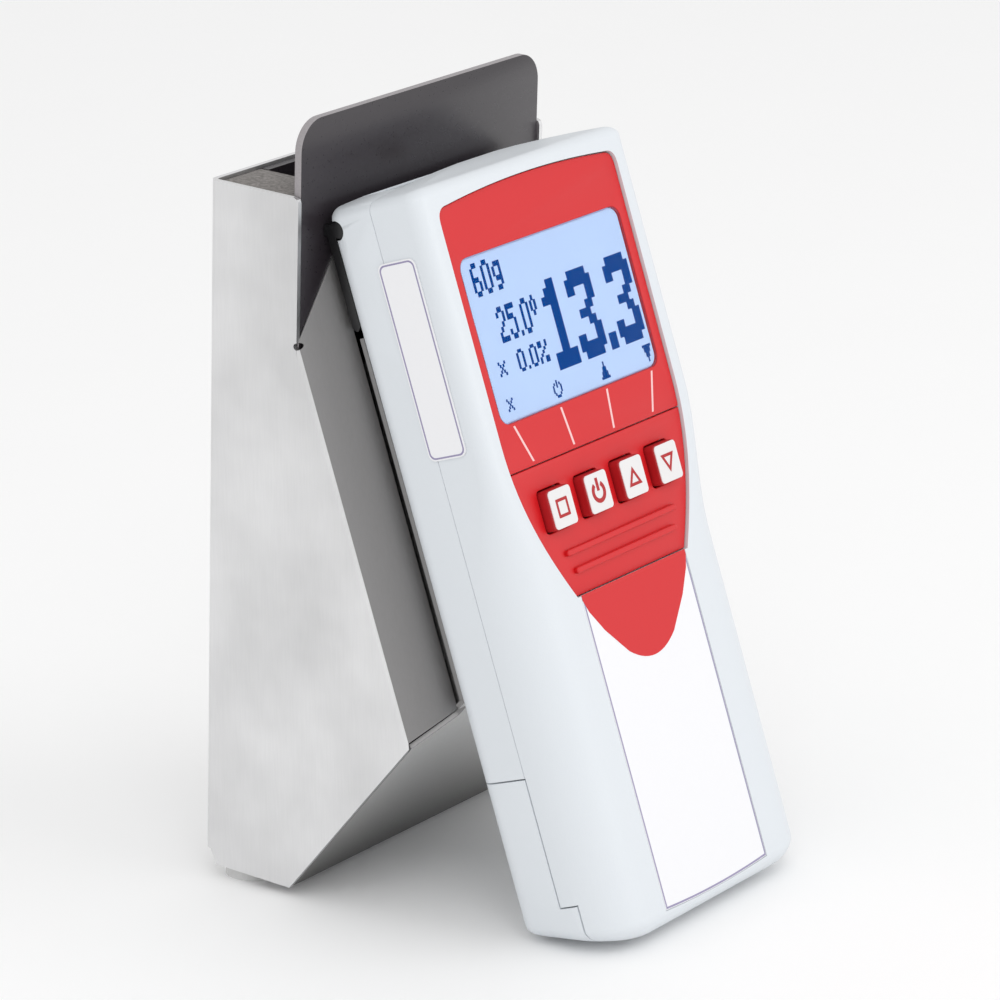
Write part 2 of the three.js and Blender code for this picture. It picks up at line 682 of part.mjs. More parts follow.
const BOARD_Y = [-3.6, -2];
const PCB_Z = [64, 134.4];
function keySwitch(i) {
  const nub = [KEY_Y[1] + KEY_TRAVEL + 0.1, BOARD_Y[0] - 2.4];
  return union(
    box([keyX(i) - 3, keyX(i) + 3], [BOARD_Y[0] - 2.8, BOARD_Y[0] - 0.2], [KEY_Z - 3, KEY_Z + 3]),
    rod([keyX(i), nub[0], KEY_Z], [keyX(i), nub[1], KEY_Z], 1.6, 12),
  );
}

function mainBoard() {
  const plate = box([-28.8, 28.8], BOARD_Y, PCB_Z);
  const notches = [-1, 1].map((side) => box([side * 26 - 4.4, side * 26 + 4.4], [-9, 3], [60, 72.4]));
  return cut(plate, ...notches);
}

const windowLens = () =>
  alongY(roundedRect(...WINDOW.map((w) => grow(w, -0.2)), 2.3), [FACE_Y[0] + 0.05, FACE_Y[0] + 0.4], 6);
// The display's glass stands up into the bezel's window.
const lcdCell = () =>
  union(
    box([-26.8, 26.8], [FACE_Y[1] + 0.25, FACE_Y[1] + 1.9], [WINDOW_Z - 17, WINDOW_Z + 17]),
    alongY(roundedRect(...WINDOW.map((w) => grow(w, -0.3)), 2.2), [FACE_Y[0] + 0.6, FACE_Y[1] + 0.5], 6),
  );
const backlight = () =>
  box([-27, 27], [FACE_Y[1] + 2.1, BOARD_Y[0] - 0.3], [WINDOW_Z - 18, WINDOW_Z + 18]);

const frontLabel = () => alongY(labelOutline(0), [FRONT + 0.02, FRONT + 0.32], 10);
const sideSeal = () =>
  alongX(roundedRect(SEAL_Y, SEAL_Z, 1.5), [-UNIT_W / 2 - 0.3, -UNIT_W / 2 - 0.05], 6);

function portPanel() {
  const x = grow(PANEL_X, -0.3);
  const y = grow(PANEL_Y, -0.3);
  const plate = box(x, y, [UNIT_L - 2.9, UNIT_L - 1.5]);
  return cut(plate, box([-4.4, 4.4], [1.5, 5], [UNIT_L - 5, UNIT_L]));
}
function portSocket() {
  const can = box([-4.2, 4.2], [1.7, 4.8], [UNIT_L - 9, UNIT_L - 1.7]);
  return cut(can, box([-3.8, 3.8], [2.1, 4.4], [UNIT_L - 7, UNIT_L]));
}

function shellScrew([x, z]) {
  const face = BACK - 0.9;
  const head = rod([x, face - 1.5, z], [x, face, z], 2.5, 16);
  return union(head, rod([x, -4.5, z], [x, face - 1.4, z], 1.2, 12));
}

const CELL_TOP = CELL_Z + CELL_L + 1;
function batteryTray() {
  const outline = polygon([
    [-25.5, -7.1],
    [25.5, -7.1],
    [30.8, -1.6],
    [30.8, 7],
    [29.9, 7],
    [29.9, -1.2],
    [25.1, -6.2],
    [-25.1, -6.2],
    [-29.9, -1.2],
    [-29.9, 7],
    [-30.8, 7],
    [-30.8, -1.6],
  ]);
  return union(
    alongZ(outline, [CELL_Z - 0.6, CELL_TOP + 3]),
    box([-29.95, 29.95], [-1.3, 7], [CELL_TOP + 2, CELL_TOP + 3]),
    box([-25.2, 25.2], [-6.3, 7], [CELL_TOP + 2, CELL_TOP + 3]),
  );
}

function cell(i) {
  const x = (i - 1.5) * CELL_PITCH;
  const up = i % 2 === 0;
  const can = up ? [CELL_Z, CELL_Z + CELL_L] : [CELL_Z + 1, CELL_Z + 1 + CELL_L];
  const nub = up ? [can[1] - 0.2, can[1] + 1] : [can[0] - 1, can[0] + 0.2];
  return union(
    rod([x, CELL_Y, can[0]], [x, CELL_Y, can[1]], CELL_R, 24),
    rod([x, CELL_Y, nub[0]], [x, CELL_Y, nub[1]], 2.7, 16),
  );
}

const contact = (sideways, z) => {
  const x = sideways * CELL_PITCH;
  return box([x - 12, x + 12], [CELL_Y - 4, CELL_Y + 4], [z, z + 0.4]);
};

// Strip across the inside of the cover's end that joins the cells.
const coverContact = () =>
  box([-27, 27], [CELL_Y - 3.5, CELL_Y + 3.5], [CELL_Z - 1.6, CELL_Z - 1.2]);

// ---- stance ----------------------------------------------------------------
// The meter is pitched forward until the heel of the display unit is down, and
// the two feet under the chamber are as tall as that leaves.
const unit = new THREE.Group();
unit.position.set(0, ...leaning(UNIT_OFFSET, -UNIT_DROP));
unit.rotation.x = -LEAN;
unit.updateMatrix();

const HEEL_FLAT = 0.15; // taken off the heel where it stands
const pitched = new THREE.Matrix4().makeRotationX(STANCE);
const unitPitched = pitched.clone().multiply(unit.matrix);
const FLOOR = batteryCover().transform(unitPitched.toArray()).boundingBox().min[2] + HEEL_FLAT;
const belowFloor = (matrix) =>
  box([-80, 80], [-150, 80], [FLOOR - 30, FLOOR]).transform(matrix.clone().invert().toArray());

const foot = (x) =>
  cut(rod([x, FOOT_Y, -10], [x, FOOT_Y, 0.2 - GAP], FOOT_R, 32), belowFloor(pitched));

// ---- assembly --------------------------------------------------------------
const chamber = new THREE.Group();
chamber.add(
  named("chamber_shell", chamberShell(), STEEL),
  named("front_sheet", frontSheet(), STEEL),
  named("floor_plate", floorPlate(), STEEL),
  named("measuring_board", measuringBoard(), BOARD_BLACK),
  named("rear_board", rearBoard(), BOARD_BLACK),
  named("spacer_left", spacer(-1), SPACER_GREY),
  named("spacer_right", spacer(1), SPACER_GREY),
  named("temperature_probe", probe(), SCREW_STEEL),
  named("amplifier_board", amplifierBoard(), CIRCUIT_GREEN),
  named("shield_can", shieldCan(), CONTACT_STEEL),
  named("standoff_left", standoff(-17, 70), SCREW_STEEL),
  named("standoff_right", standoff(17, 70), SCREW_STEEL),
  named("sensor_lead", sensorLead(), PART_BLACK),
  named("hook_clip", hookClip(), CLIP_BLACK),
  named("mount_screw_lower", mountScrew(MOUNT_SCREWS[0]), SCREW_STEEL),
  named("mount_screw_upper", mountScrew(MOUNT_SCREWS[1]), SCREW_STEEL),
  named("foot_left", foot(-FOOT_X), RUBBER_CLEAR),
  named("foot_right", foot(FOOT_X), RUBBER_CLEAR),
  ...BOARD_SCREWS.map((place, i) => named(`board_screw_${i + 1}`, boardScrew(place), SCREW_STEEL)),
);

unit.add(
  named("front_shell", frontShell(), SHELL_WHITE),
  named("rear_shell", rearShell(), SHELL_WHITE),
  named("battery_cover", cut(batteryCover(), belowFloor(unitPitched)), SHELL_WHITE),
  named("display_bezel", bezel(), FACE_RED),
  named("keypad_mat", keypadMat(), FACE_RED),
  named("display_window", windowLens(), WINDOW_CLEAR),
  named("lcd_cell", lcdCell(), LCD_BLUE),
  named("backlight", backlight(), LABEL_WHITE),
  named("main_board", mainBoard(), CIRCUIT_GREEN),
  named("front_label", frontLabel(), LABEL_WHITE),
  named("side_seal", sideSeal(), LABEL_WHITE),
  named("port_panel", portPanel(), SHELL_WHITE),
  named("port_socket", portSocket(), CONTACT_STEEL),
  named("battery_tray", batteryTray(), TRAY_GREY),
  named("contact_top_left", contact(-1, CELL_TOP + 0.3), CONTACT_STEEL),
  named("contact_top_right", contact(1, CELL_TOP + 0.3), CONTACT_STEEL),
  named("contact_cover", coverContact(), CONTACT_STEEL),
  ...KEY_NAMES.flatMap((name, i) => [
    named(`key_${name}`, key(i), KEY_RED),
    named(`switch_${name}`, keySwitch(i), PART_BLACK),
  ]),
  ...[0, 1, 2, 3].map((i) => named(`aa_cell_${i + 1}`, cell(i), CELL_WRAP)),
  ...SHELL_SCREWS.map((place, i) => named(`shell_screw_${i + 1}`, shellScrew(place), SCREW_STEEL)),
);

const meter = new THREE.Group();
meter.add(chamber, unit);
meter.rotation.x = STANCE;
meter.updateMatrixWorld(true);
const bounds = new THREE.Box3().setFromObject(meter, true);
meter.position.set(0, -(bounds.min.y + bounds.max.y) / 2, -bounds.min.z);

export default meter;
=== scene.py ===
"""Looks for the grain moisture meter: steel chamber, display unit, studio and camera."""

import json
import math

import bmesh
import bpy
from mathutils import Matrix, Vector


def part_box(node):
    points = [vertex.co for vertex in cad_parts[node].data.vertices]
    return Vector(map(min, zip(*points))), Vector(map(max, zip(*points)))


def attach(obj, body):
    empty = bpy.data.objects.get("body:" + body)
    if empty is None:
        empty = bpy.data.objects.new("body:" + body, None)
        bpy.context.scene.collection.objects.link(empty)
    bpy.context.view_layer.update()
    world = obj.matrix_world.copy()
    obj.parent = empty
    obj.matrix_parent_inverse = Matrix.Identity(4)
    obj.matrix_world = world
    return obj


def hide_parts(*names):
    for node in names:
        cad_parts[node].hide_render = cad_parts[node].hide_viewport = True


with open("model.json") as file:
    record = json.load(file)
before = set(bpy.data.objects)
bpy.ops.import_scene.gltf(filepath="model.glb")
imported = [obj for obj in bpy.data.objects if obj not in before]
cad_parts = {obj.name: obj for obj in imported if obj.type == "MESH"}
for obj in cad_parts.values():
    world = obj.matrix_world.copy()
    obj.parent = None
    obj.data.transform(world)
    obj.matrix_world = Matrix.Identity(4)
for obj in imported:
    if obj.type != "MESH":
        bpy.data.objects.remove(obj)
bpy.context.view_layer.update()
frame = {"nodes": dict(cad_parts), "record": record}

# ---- dimensions, in millimetres, as in the CAD ---------------------------------
LEAN = math.radians(20.7)  # display unit, back from the chamber's upright
STANCE = math.radians(3)  # whole meter, pitched forward
SCOOP = math.radians(52)  # sloping plate under the chamber's front, from level

SHEET = 1.0
HALF = 38.8  # chamber's half width
DEPTH = 21.2
RIM = 138.5
FOLD = 1.6  # outer radius of a fold in the sheet
GUSSET_N = 38.8
GUSSET_REACH, GUSSET_RISE = 10.8, 5.5
GUSSET_LIFT = 1.08  # how far its flat stops above the sloping plate
BOARD_HALF, BOARD_T, BOARD_TOP, BOARD_FRONT = 37.5, 1.6, 152.7, 0.4
BOARD_FOOT, BOARD_CORNER = 2, 6
SPACER_W = 12.5
BACK_FOOT = 3  # where the back wall starts, above the floor
NOTCH_R = 0.7
SHEET_EDGE = 0.12  # bevel on the sheet's cut edges
RETURN_IN, RETURN_DEEP = 4, 6.5  # mounting plate's returns: in from its sides, and their depth

UNIT_HALF, UNIT_DEEP, UNIT_L = 33.5, 11.5, 148.8
UNIT_OFFSET, UNIT_DROP = 60.3, 21.3
UNIT_BACK = UNIT_OFFSET - UNIT_DEEP
MOUNT_HALF, MOUNT_TOP = 30.8, 101
END_BULGE, CORNER, END_ROUND = 1.4, 6.0, 3.8
TOP_ROUND, BACK_SHARE = 2.4, 0.5  # top end's edge radius; how much of it the rear edge has
SHOULDER_TOP, SHOULDER_GRIP, BACK_SHOULDER = 3.2, 10.5, 4.0
WAIST = (66, 96)  # where the front edges turn from soft to sharp
EDGE_SHARE = 0.6  # how much the upright edges' radii shrink, for what an end draws in
BOTTOM_FADE, TOP_FADE = 14, 10  # how far along the unit an end's bow fades out
BOTTOM_SLOPE = 3.3  # rise of the bottom end towards the rear
WALL = 2.0
SEAM = 0.3
COVER_TOP, LIP_TOP, LIP_Y = 35.1, 9.7, -3.7
GROOVE_Z, GROOVE_R, GROOVE_SUNK = 143.1, 1.9, 2.2
BEAD_HALF = 32.5
CLIP_LOW, CLIP_T, NECK_HALF, HEEL_HALF = 102.4, 2.0, 1.2, 1.1
BOTTOM = -0.95  # the unit's bottom end, a little above the CAD's, to stay clear of the floor

FRONT = -UNIT_DEEP
FACE_Y = (FRONT + 0.6, FRONT + 1.95)
FACE_SEAM = 91.3
WINDOW_W, WINDOW_H, WINDOW_Z = 51.6, 32.0, 116.3
KEY_W, KEY_H, KEY_PITCH, KEY_Z = 7.3, 7.8, 11.67, 82.4
KEY_PROUD, KEY_DEEP = 1.5, 3.6
KEYS = ("menu", "power", "up", "down")
FACE_GAP = 0.12  # half the seam between bezel and keypad mat
RIBS = ((73.6, 18.0), (69.9, 16.6))  # height and half width
RIB_HALF = 0.6
LABEL_HALF, LABEL_Z = 17.2, (2.6, 65.0)
SEAL_Y, SEAL_Z = (-7.4, 1.6), (97.3, 135.3)
LCD_Y = FACE_Y[0] + 0.6
LCD_HALF_W, LCD_HALF_H = 26.8, 17
SCREW_X, SCREW_Z, SCREW_HOLE, SCREW_SUNK = 26, (68, 138), 2.8, 2.6
SHELL_GAP = 0.05  # half the joint between front and rear shell

# ---- frames --------------------------------------------------------------------
MILLIMETRES = Matrix.Scale(0.001, 4)


def chamber_frame():
    """Where the chamber's own frame sits, read back from its floor plate."""
    low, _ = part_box("floor_plate")
    front, under, top = 1.6, 0.2, 0.2 + SHEET
    y = low.y * 1000 - (front * math.cos(STANCE) - top * math.sin(STANCE))
    z = low.z * 1000 - (under * math.cos(STANCE) + front * math.sin(STANCE))
    return MILLIMETRES @ Matrix.Translation((0, y, z)) @ Matrix.Rotation(STANCE, 4, "X")


def leaning(n, t):
    """(y, z) in the chamber's frame, n in front and t up along the display unit."""
    return (
        -n * math.cos(LEAN) + t * math.sin(LEAN),
        n * math.sin(LEAN) + t * math.cos(LEAN),
    )


def scoop_at(s):
    return (-s * math.cos(SCOOP), s * math.sin(SCOOP))


def scoop_length_to(n):
    return n / math.cos(SCOOP - LEAN)


def scoop_rise(n):
    """How far up the display unit the sloping plate is, n in front."""
    return n * math.tan(SCOOP - LEAN)


CHAMBER = chamber_frame()
UNIT = (
    CHAMBER
    @ Matrix.Translation((0, *leaning(UNIT_OFFSET, -UNIT_DROP)))
    @ Matrix.Rotation(-LEAN, 4, "X")
)

# ---- mesh helpers ----------------------------------------------------------------


def new_object(name, vertices, faces):
    mesh = bpy.data.meshes.new(name)
    mesh.from_pydata([tuple(v) for v in vertices], [], faces)
    made = bmesh.new()
    made.from_mesh(mesh)
    bmesh.ops.recalc_face_normals(made, faces=made.faces)
    made.to_mesh(mesh)
    made.free()
    obj = bpy.data.objects.new(name, mesh)
    bpy.context.scene.collection.objects.link(obj)
    return obj


def baked(obj):
    """Turns the object's modifiers into its mesh."""
    bpy.context.view_layer.update()
    shaped = obj.evaluated_get(bpy.context.evaluated_depsgraph_get())
    mesh = bpy.data.meshes.new_from_object(shaped)
    obj.modifiers.clear()
    obj.data = mesh
    return obj


def boolean(obj, tools, operation, solver="EXACT"):
    for tool in tools:
        step = obj.modifiers.new("boolean", "BOOLEAN")
        step.operation = operation
        step.solver = solver
        step.object = tool
    baked(obj)
    for tool in tools:
        bpy.data.objects.remove(tool)
    return obj


def bevelled(obj, width, segments=2, angle=35):
    step = obj.modifiers.new("bevel", "BEVEL")
    step.width = width
    step.segments = segments
    step.limit_method = "ANGLE"
    step.angle_limit = math.radians(angle)
    step.harden_normals = False
    return baked(obj)


def thickened(obj, thickness):
    step = obj.modifiers.new("sheet", "SOLIDIFY")
    step.thickness = thickness
    step.offset = -1
    step.use_even_offset = True
    return baked(obj)


def finished(obj, place, body, material, replaces=(), sharp=32):
    """Puts a piece in its frame, on its body and in its material."""
    obj.data.transform(place)
    obj.data.materials.clear()
    for entry in material if isinstance(material, (list, tuple)) else [material]:
        obj.data.materials.append(entry)
    obj.data.shade_smooth()
    obj.data.set_sharp_from_angle(angle=math.radians(sharp))
    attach(obj, body)
    if replaces:
        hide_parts(*replaces)
    return obj


AXES = {
    "X": lambda u, v, w: (w, u, v),
    "Y": lambda u, v, w: (u, w, v),
    "Z": lambda u, v, w: (u, v, w),
}


def prism(name, outline, axis, span):
    """An outline pushed along an axis: (y, z) along X, (x, z) along Y, (x, y) along Z."""
    place = AXES[axis]
    count = len(outline)
    vertices = [place(u, v, w) for w in span for u, v in outline]
    sides = [(i, (i + 1) % count, (i + 1) % count + count, i + count) for i in range(count)]
    caps = [tuple(range(count)), tuple(range(count, 2 * count))]
    return new_object(name, vertices, sides + caps)


def box(name, xs, ys, zs):
    (x0, x1), (y0, y1) = xs, ys
    return prism(name, [(x0, y0), (x1, y0), (x1, y1), (x0, y1)], "Z", zs)


def arc(centre, radius, start, end, steps=8):
    return [
        (
            centre[0] + radius * math.cos(math.radians(start + (end - start) * i / steps)),
            centre[1] + radius * math.sin(math.radians(start + (end - start) * i / steps)),
        )
        for i in range(steps + 1)
    ]


def rounded(us, vs, r, steps=8):
    (u0, u1), (v0, v1) = us, vs
    return (
        arc((u0 + r, v0 + r), r, 180, 270, steps)
        + arc((u1 - r, v0 + r), r, 270, 360, steps)
        + arc((u1 - r, v1 - r), r, 0, 90, steps)
        + arc((u0 + r, v1 - r), r, 90, 180, steps)
    )


def circle(centre, radius, steps=48):
    return arc(centre, radius, 0, 360, steps)[:-1]


def grown(span, by):
    return (span[0] - by, span[1] + by)


def around(middle, size):
    return (middle - size / 2, middle + size / 2)


def bezier(a, b, c, d, steps=14):
    points = []
    for i in range(1, steps + 1):
        t = i / steps
        w = ((1 - t) ** 3, 3 * t * (1 - t) ** 2, 3 * t * t * (1 - t), t**3)
        points.append(tuple(sum(k * p[j] for k, p in zip(w, (a, b, c, d))) for j in (0, 1)))
    return points


def bow(a, middle, b, steps=14):
    """A parabola from a to b pulled towards middle."""
    return bezier(
        a,
        tuple(a[j] + (middle[j] - a[j]) * 2 / 3 for j in (0, 1)),
        tuple(b[j] + (middle[j] - b[j]) * 2 / 3 for j in (0, 1)),
        b,
        steps,
    )


def rod(name, a, b, radius, steps=48):
    a, b = Vector(a), Vector(b)
    turn = (b - a).to_track_quat("Z", "Y").to_matrix().to_4x4()
    obj = prism(name, circle((0, 0), radius, steps), "Z", (0, (b - a).length))
    obj.data.transform(Matrix.Translation(a) @ turn)
    return obj


# ---- materials ---------------------------------------------------------------------


def surface(
    name, colour, roughness, metallic=0.0, spread=0.03, grain=900, stretch=(1, 1, 1),
    bump=0.05, rough_spread=0.08, floor_shade=None, clouds=0.0, **sockets,
):
    """A Principled surface whose colour, roughness and relief follow one noise.

    The floor shade, if given, is painted shade: (low height, high height, share of the colour kept
    at the low one);
    clouds is the spread of a second, broad and soft variation."""
    material = bpy.data.materials.new(name)
    material.use_nodes = True
    nodes, links = material.node_tree.nodes, material.node_tree.links
    shader = nodes["Principled BSDF"]
    place = nodes.new("ShaderNodeTexCoord")
    mapping = nodes.new("ShaderNodeMapping")
    mapping.inputs["Scale"].default_value = stretch
    noise = nodes.new("ShaderNodeTexNoise")
    noise.inputs["Scale"].default_value = grain
    noise.inputs["Detail"].default_value = 4
    links.new(place.outputs["Object"], mapping.inputs["Vector"])
    links.new(mapping.outputs["Vector"], noise.inputs["Vector"])
    tint = nodes.new("ShaderNodeMix")
    tint.data_type = "RGBA"
    tint.inputs[6].default_value = (*[max(c * (1 - spread), 0) for c in colour], 1)
    tint.inputs[7].default_value = (*[min(c * (1 + spread), 1) for c in colour], 1)
    links.new(noise.outputs["Fac"], tint.inputs["Factor"])
    shade = tint.outputs[2]
    if clouds:
        shade = clouded(nodes, links, place.outputs["Object"], shade, clouds)
    # painted shade: the colour darker towards the floor
    if floor_shade:
        shade = floor_shaded(nodes, links, place.outputs["Object"], shade, *floor_shade)
    links.new(shade, shader.inputs["Base Color"])
    gloss = nodes.new("ShaderNodeMapRange")
    gloss.inputs["To Min"].default_value = max(roughness - rough_spread, 0.02)
    gloss.inputs["To Max"].default_value = roughness + rough_spread
    links.new(noise.outputs["Fac"], gloss.inputs["Value"])
    links.new(gloss.outputs["Result"], shader.inputs["Roughness"])
    relief = nodes.new("ShaderNodeBump")
    relief.inputs["Strength"].default_value = bump
    relief.inputs["Distance"].default_value = 0.0001
    links.new(noise.outputs["Fac"], relief.inputs["Height"])
    links.new(relief.outputs["Normal"], shader.inputs["Normal"])
    shader.inputs["Metallic"].default_value = metallic
    for socket, value in sockets.items():
        shader.inputs[socket.replace("_", " ")].default_value = value
    return material


def clouded(nodes, links, place, colour, spread):
    """Varies a colour over a few centimetres."""
    broad = nodes.new("ShaderNodeTexNoise")
    broad.inputs["Scale"].default_value = 38
    broad.inputs["Detail"].default_value = 3
    links.new(place, broad.inputs["Vector"])
    amount = nodes.new("ShaderNodeMapRange")
    amount.inputs["From Min"].default_value = 0.3
    amount.inputs["From Max"].default_value = 0.7
    amount.inputs["To Min"].default_value = 1 - spread
    amount.inputs["To Max"].default_value = 1 + spread
    links.new(broad.outputs["Fac"], amount.inputs["Value"])
    scaled = nodes.new("ShaderNodeVectorMath")
    scaled.operation = "SCALE"
    links.new(colour, scaled.inputs[0])
    links.new(amount.outputs["Result"], scaled.inputs["Scale"])
    return scaled.outputs["Vector"]


def floor_shaded(nodes, links, place, colour, low, high, share):
    """Painted shade: darkens a colour towards the floor."""
    parts = nodes.new("ShaderNodeSeparateXYZ")
    links.new(place, parts.inputs["Vector"])
    height = nodes.new("ShaderNodeMapRange")
    height.inputs["From Min"].default_value = low
    height.inputs["From Max"].default_value = high
    height.inputs["To Min"].default_value = share
    links.new(parts.outputs["Z"], height.inputs["Value"])
    scaled = nodes.new("ShaderNodeVectorMath")
    scaled.operation = "SCALE"
    links.new(colour, scaled.inputs[0])
    links.new(height.outputs["Result"], scaled.inputs["Scale"])
    return scaled.outputs["Vector"]


def clear(name, colour, roughness, ior):
    return surface(
        name, colour, roughness, spread=0.01, bump=0.01, rough_spread=0.01,
        Transmission_Weight=1.0, IOR=ior,
    )


# the grain runs up and down
BRUSHED = {"grain": 260, "stretch": (9, 9, 0.6), "bump": 0.12, "rough_spread": 0.07}
STEEL = surface("brushed stainless", (0.74, 0.74, 0.745), 0.4, 1.0, 0.05, clouds=0.1, **BRUSHED)
# painted shade: a darker copy of the steel, for the gussets and the mounting plate that lie in
# shade behind the display unit
PAINTED_SHADE_STEEL = surface("stainless in painted shade", (0.27, 0.265, 0.265), 0.42, 1.0, 0.06, **BRUSHED)
# painted shade and reflection: the sloping plate's steel, brighter than the rest and darkened
# towards the floor
SCOOP_STEEL = surface(
    "scoop stainless in painted shade", (0.95, 0.94, 0.93), 0.42, 1.0, 0.06, floor_shade=(0.002, 0.04, 0.2), **BRUSHED
)
PLATED = surface("plated steel", (0.6, 0.6, 0.58), 0.3, 1.0, 0.05, 1500, bump=0.05)
CONTACT = surface("contact strip", (0.66, 0.64, 0.56), 0.35, 1.0, 0.06, 1200)
LAMINATE = surface(
    "black laminate", (0.03, 0.025, 0.03), 0.3, 0, 0.15, 1400, bump=0.01, Specular_IOR_Level=0.6
)
CUT_EDGE = surface("laminate cut edge", (0.33, 0.31, 0.32), 0.6, 0, 0.2, 2500, bump=0.2)
SPACER = surface("pressed board", (0.22, 0.205, 0.195), 0.85, 0, 0.9, 1500, bump=0.6)
MOULDED_BLACK = surface("moulded black", (0.006, 0.006, 0.007), 0.42, 0, 0.2, 2000, bump=0.1)
CLEAR_RUBBER = surface(
    "clear rubber", (0.93, 0.93, 0.925), 0.15, spread=0.01, bump=0.02,
    Transmission_Weight=0.35, IOR=1.4,
)
WHITE = surface(
    "moulded white", (0.70, 0.735, 0.77), 0.42, 0, 0.012, 3800, bump=0.16, rough_spread=0.05
)
RED = surface("satin red", (0.62, 0.006, 0.01), 0.42, 0, 0.03, 3000, bump=0.08, rough_spread=0.05)
RED_RUBBER = surface("red rubber", (0.42, 0.006, 0.01), 0.5, 0, 0.05, 2500, bump=0.1)
PRINT_WHITE = surface("white print", (0.76, 0.745, 0.745), 0.4, 0, 0.01, 4000, bump=0.04)
PRINT_PINK = surface("pale print line", (0.86, 0.55, 0.55), 0.4, 0, 0.01, 4000, bump=0.02)
PRINT_VIOLET = surface("violet print line", (0.30, 0.27, 0.42), 0.5, 0, 0.03, 4000, bump=0.02)
LABEL = surface("label film", (0.84, 0.84, 0.86), 0.33, 0, 0.008, 1500, bump=0.03, Coat_Weight=0.3)
LENS = clear("display lens", (0.97, 0.98, 1.0), 0.03, 1.1)
LCD_GLOW = surface(
    "backlit liquid crystal", (0.40, 0.52, 0.72), 0.4, 0, 0.04, 90, bump=0.0,
    Emission_Color=(0.46, 0.6, 0.9, 1), Emission_Strength=0.36, Specular_IOR_Level=0.1,
)
LCD_DOT = surface(
    "dark dots", (0.002, 0.05, 0.24), 0.5, 0, 0.05, 3000, bump=0.0,
    Emission_Color=(0.0, 0.05, 0.25, 1), Emission_Strength=0.25, Specular_IOR_Level=0.0,
)
CIRCUIT = surface("solder mask", (0.015, 0.11, 0.04), 0.35, 0, 0.2, 700, bump=0.1)
TRAY = surface("moulded grey", (0.09, 0.1, 0.11), 0.55, 0, 0.05, 3000, bump=0.1)
WRAP = surface("cell sleeve", (0.04, 0.1, 0.32), 0.3, 0.2, 0.04, 2000, bump=0.02)

SLOT_MATERIALS = {
    "steel_sheet": STEEL,
    "screw_steel": PLATED,
    "contact_metal": CONTACT,
    "board_black": LAMINATE,
    "spacer_grey": SPACER,
    "clip_black": MOULDED_BLACK,
    "foot_clear": CLEAR_RUBBER,
    "shell_white": WHITE,
    "face_red": RED,
    "key_rubber": RED_RUBBER,
    "window_clear": LENS,
    "lcd": LCD_GLOW,
    "circuit_green": CIRCUIT,
    "part_black": MOULDED_BLACK,
    "label_white": LABEL,
    "tray_grey": TRAY,
    "cell_wrap": WRAP,
}


def paint_cad_nodes():
    for entry in frame["record"]["subparts"]:
        node = frame["nodes"][entry["node"]]
        node.data.materials.clear()
        node.data.materials.append(SLOT_MATERIALS[entry["material_slot"]])


# ---- chamber -------------------------------------------------------------------------


def chamber_shell():
    """One folded sheet: gusset, side, back, side, gusset."""
    turn = math.atan2(GUSSET_REACH, GUSSET_RISE)  # how far the gusset turns in
    inset = FOLD * math.tan(turn / 2)
    edge_n = GUSSET_N - inset  # where the flat side ends
    rear = DEPTH - FOLD

    def top_t(n):
        """Level with the front lip."""
        return n / math.tan(LEAN)

    def low_t(n):
        """Along the sloping plate; the gusset's flat stops a little above it."""
        return scoop_rise(n) + (0 if n < GUSSET_N + 0.1 else GUSSET_LIFT)

    side_face = [
        (HALF, rear, RIM), (HALF, 1.0, RIM), (HALF, 0.3, RIM - 0.3), (HALF, 0, RIM - 1),
        (HALF, *leaning(edge_n, top_t(edge_n))), (HALF, *leaning(edge_n, low_t(edge_n))),
        (HALF, 0, 0), (HALF, DEPTH - 3, 0), (HALF, rear, BACK_FOOT),
    ]
    vertices, faces = [], []

    def add(points):
        first = len(vertices)
        vertices.extend(points)
        return list(range(first, first + len(points)))

    for side in (-1, 1):
        faces.append(tuple(add([(side * x, y, z) for x, y, z in side_face])))
        # fold along the slanted edge, then the gusset's flat
        steps = 8
        rows = []
        for i in range(steps + 1):
            angle = turn * i / steps
            x = HALF - FOLD + FOLD * math.cos(angle)
            n = edge_n + FOLD * math.sin(angle)
            rows.append((x, n))
        end_x, end_n = HALF - GUSSET_REACH, GUSSET_N + GUSSET_RISE
        rows.append((end_x, end_n))
        strip = [
            add([(side * x, *leaning(n, t)) for t in (top_t(n), low_t(n))]) for x, n in rows
        ]
        for a, b in zip(strip, strip[1:]):
            faces.append((a[0], a[1], b[1], b[0]))
    # back wall and its two folds
    rows = [(-HALF, rear)] + [
        (-HALF + FOLD - FOLD * math.cos(math.radians(a)), rear + FOLD * math.sin(math.radians(a)))
        for a in range(15, 91, 15)
    ]
    rows += [(-x, y) for x, y in reversed(rows)]
    strip = [add([(x, y, BACK_FOOT), (x, y, RIM)]) for x, y in rows]
    for a, b in zip(strip, strip[1:]):
        faces.append((a[0], a[1], b[1], b[0]))
    shell = new_object("chamber_shell_looks", vertices, faces)
    weld(shell)
    outward(shell, Vector((0, 8, 60)))
    thickened(shell, SHEET)
    edge = leaning(GUSSET_N, top_t(GUSSET_N))
    notches = [
        rod("notch", (side * (HALF - 8), *edge), (side * (HALF + 4), *edge), NOTCH_R, 32)
        for side in (-1, 1)
    ]
    boolean(shell, notches, "DIFFERENCE", "MANIFOLD")
    bevelled(shell, SHEET_EDGE, 1, 50)
    finished(shell, CHAMBER, "meter", [STEEL, PAINTED_SHADE_STEEL], ["chamber_shell"])
    # the gussets, turned in towards the front, take the darker copy of the steel: painted shade
    forward = (CHAMBER.to_3x3() @ Vector((0, *leaning(1, 0)))).normalized()
    for polygon in shell.data.polygons:
        turned_in = polygon.normal.dot(forward) > 0.7 and abs(polygon.normal.x) > 0.2
        polygon.material_index = int(turned_in)
    return shell


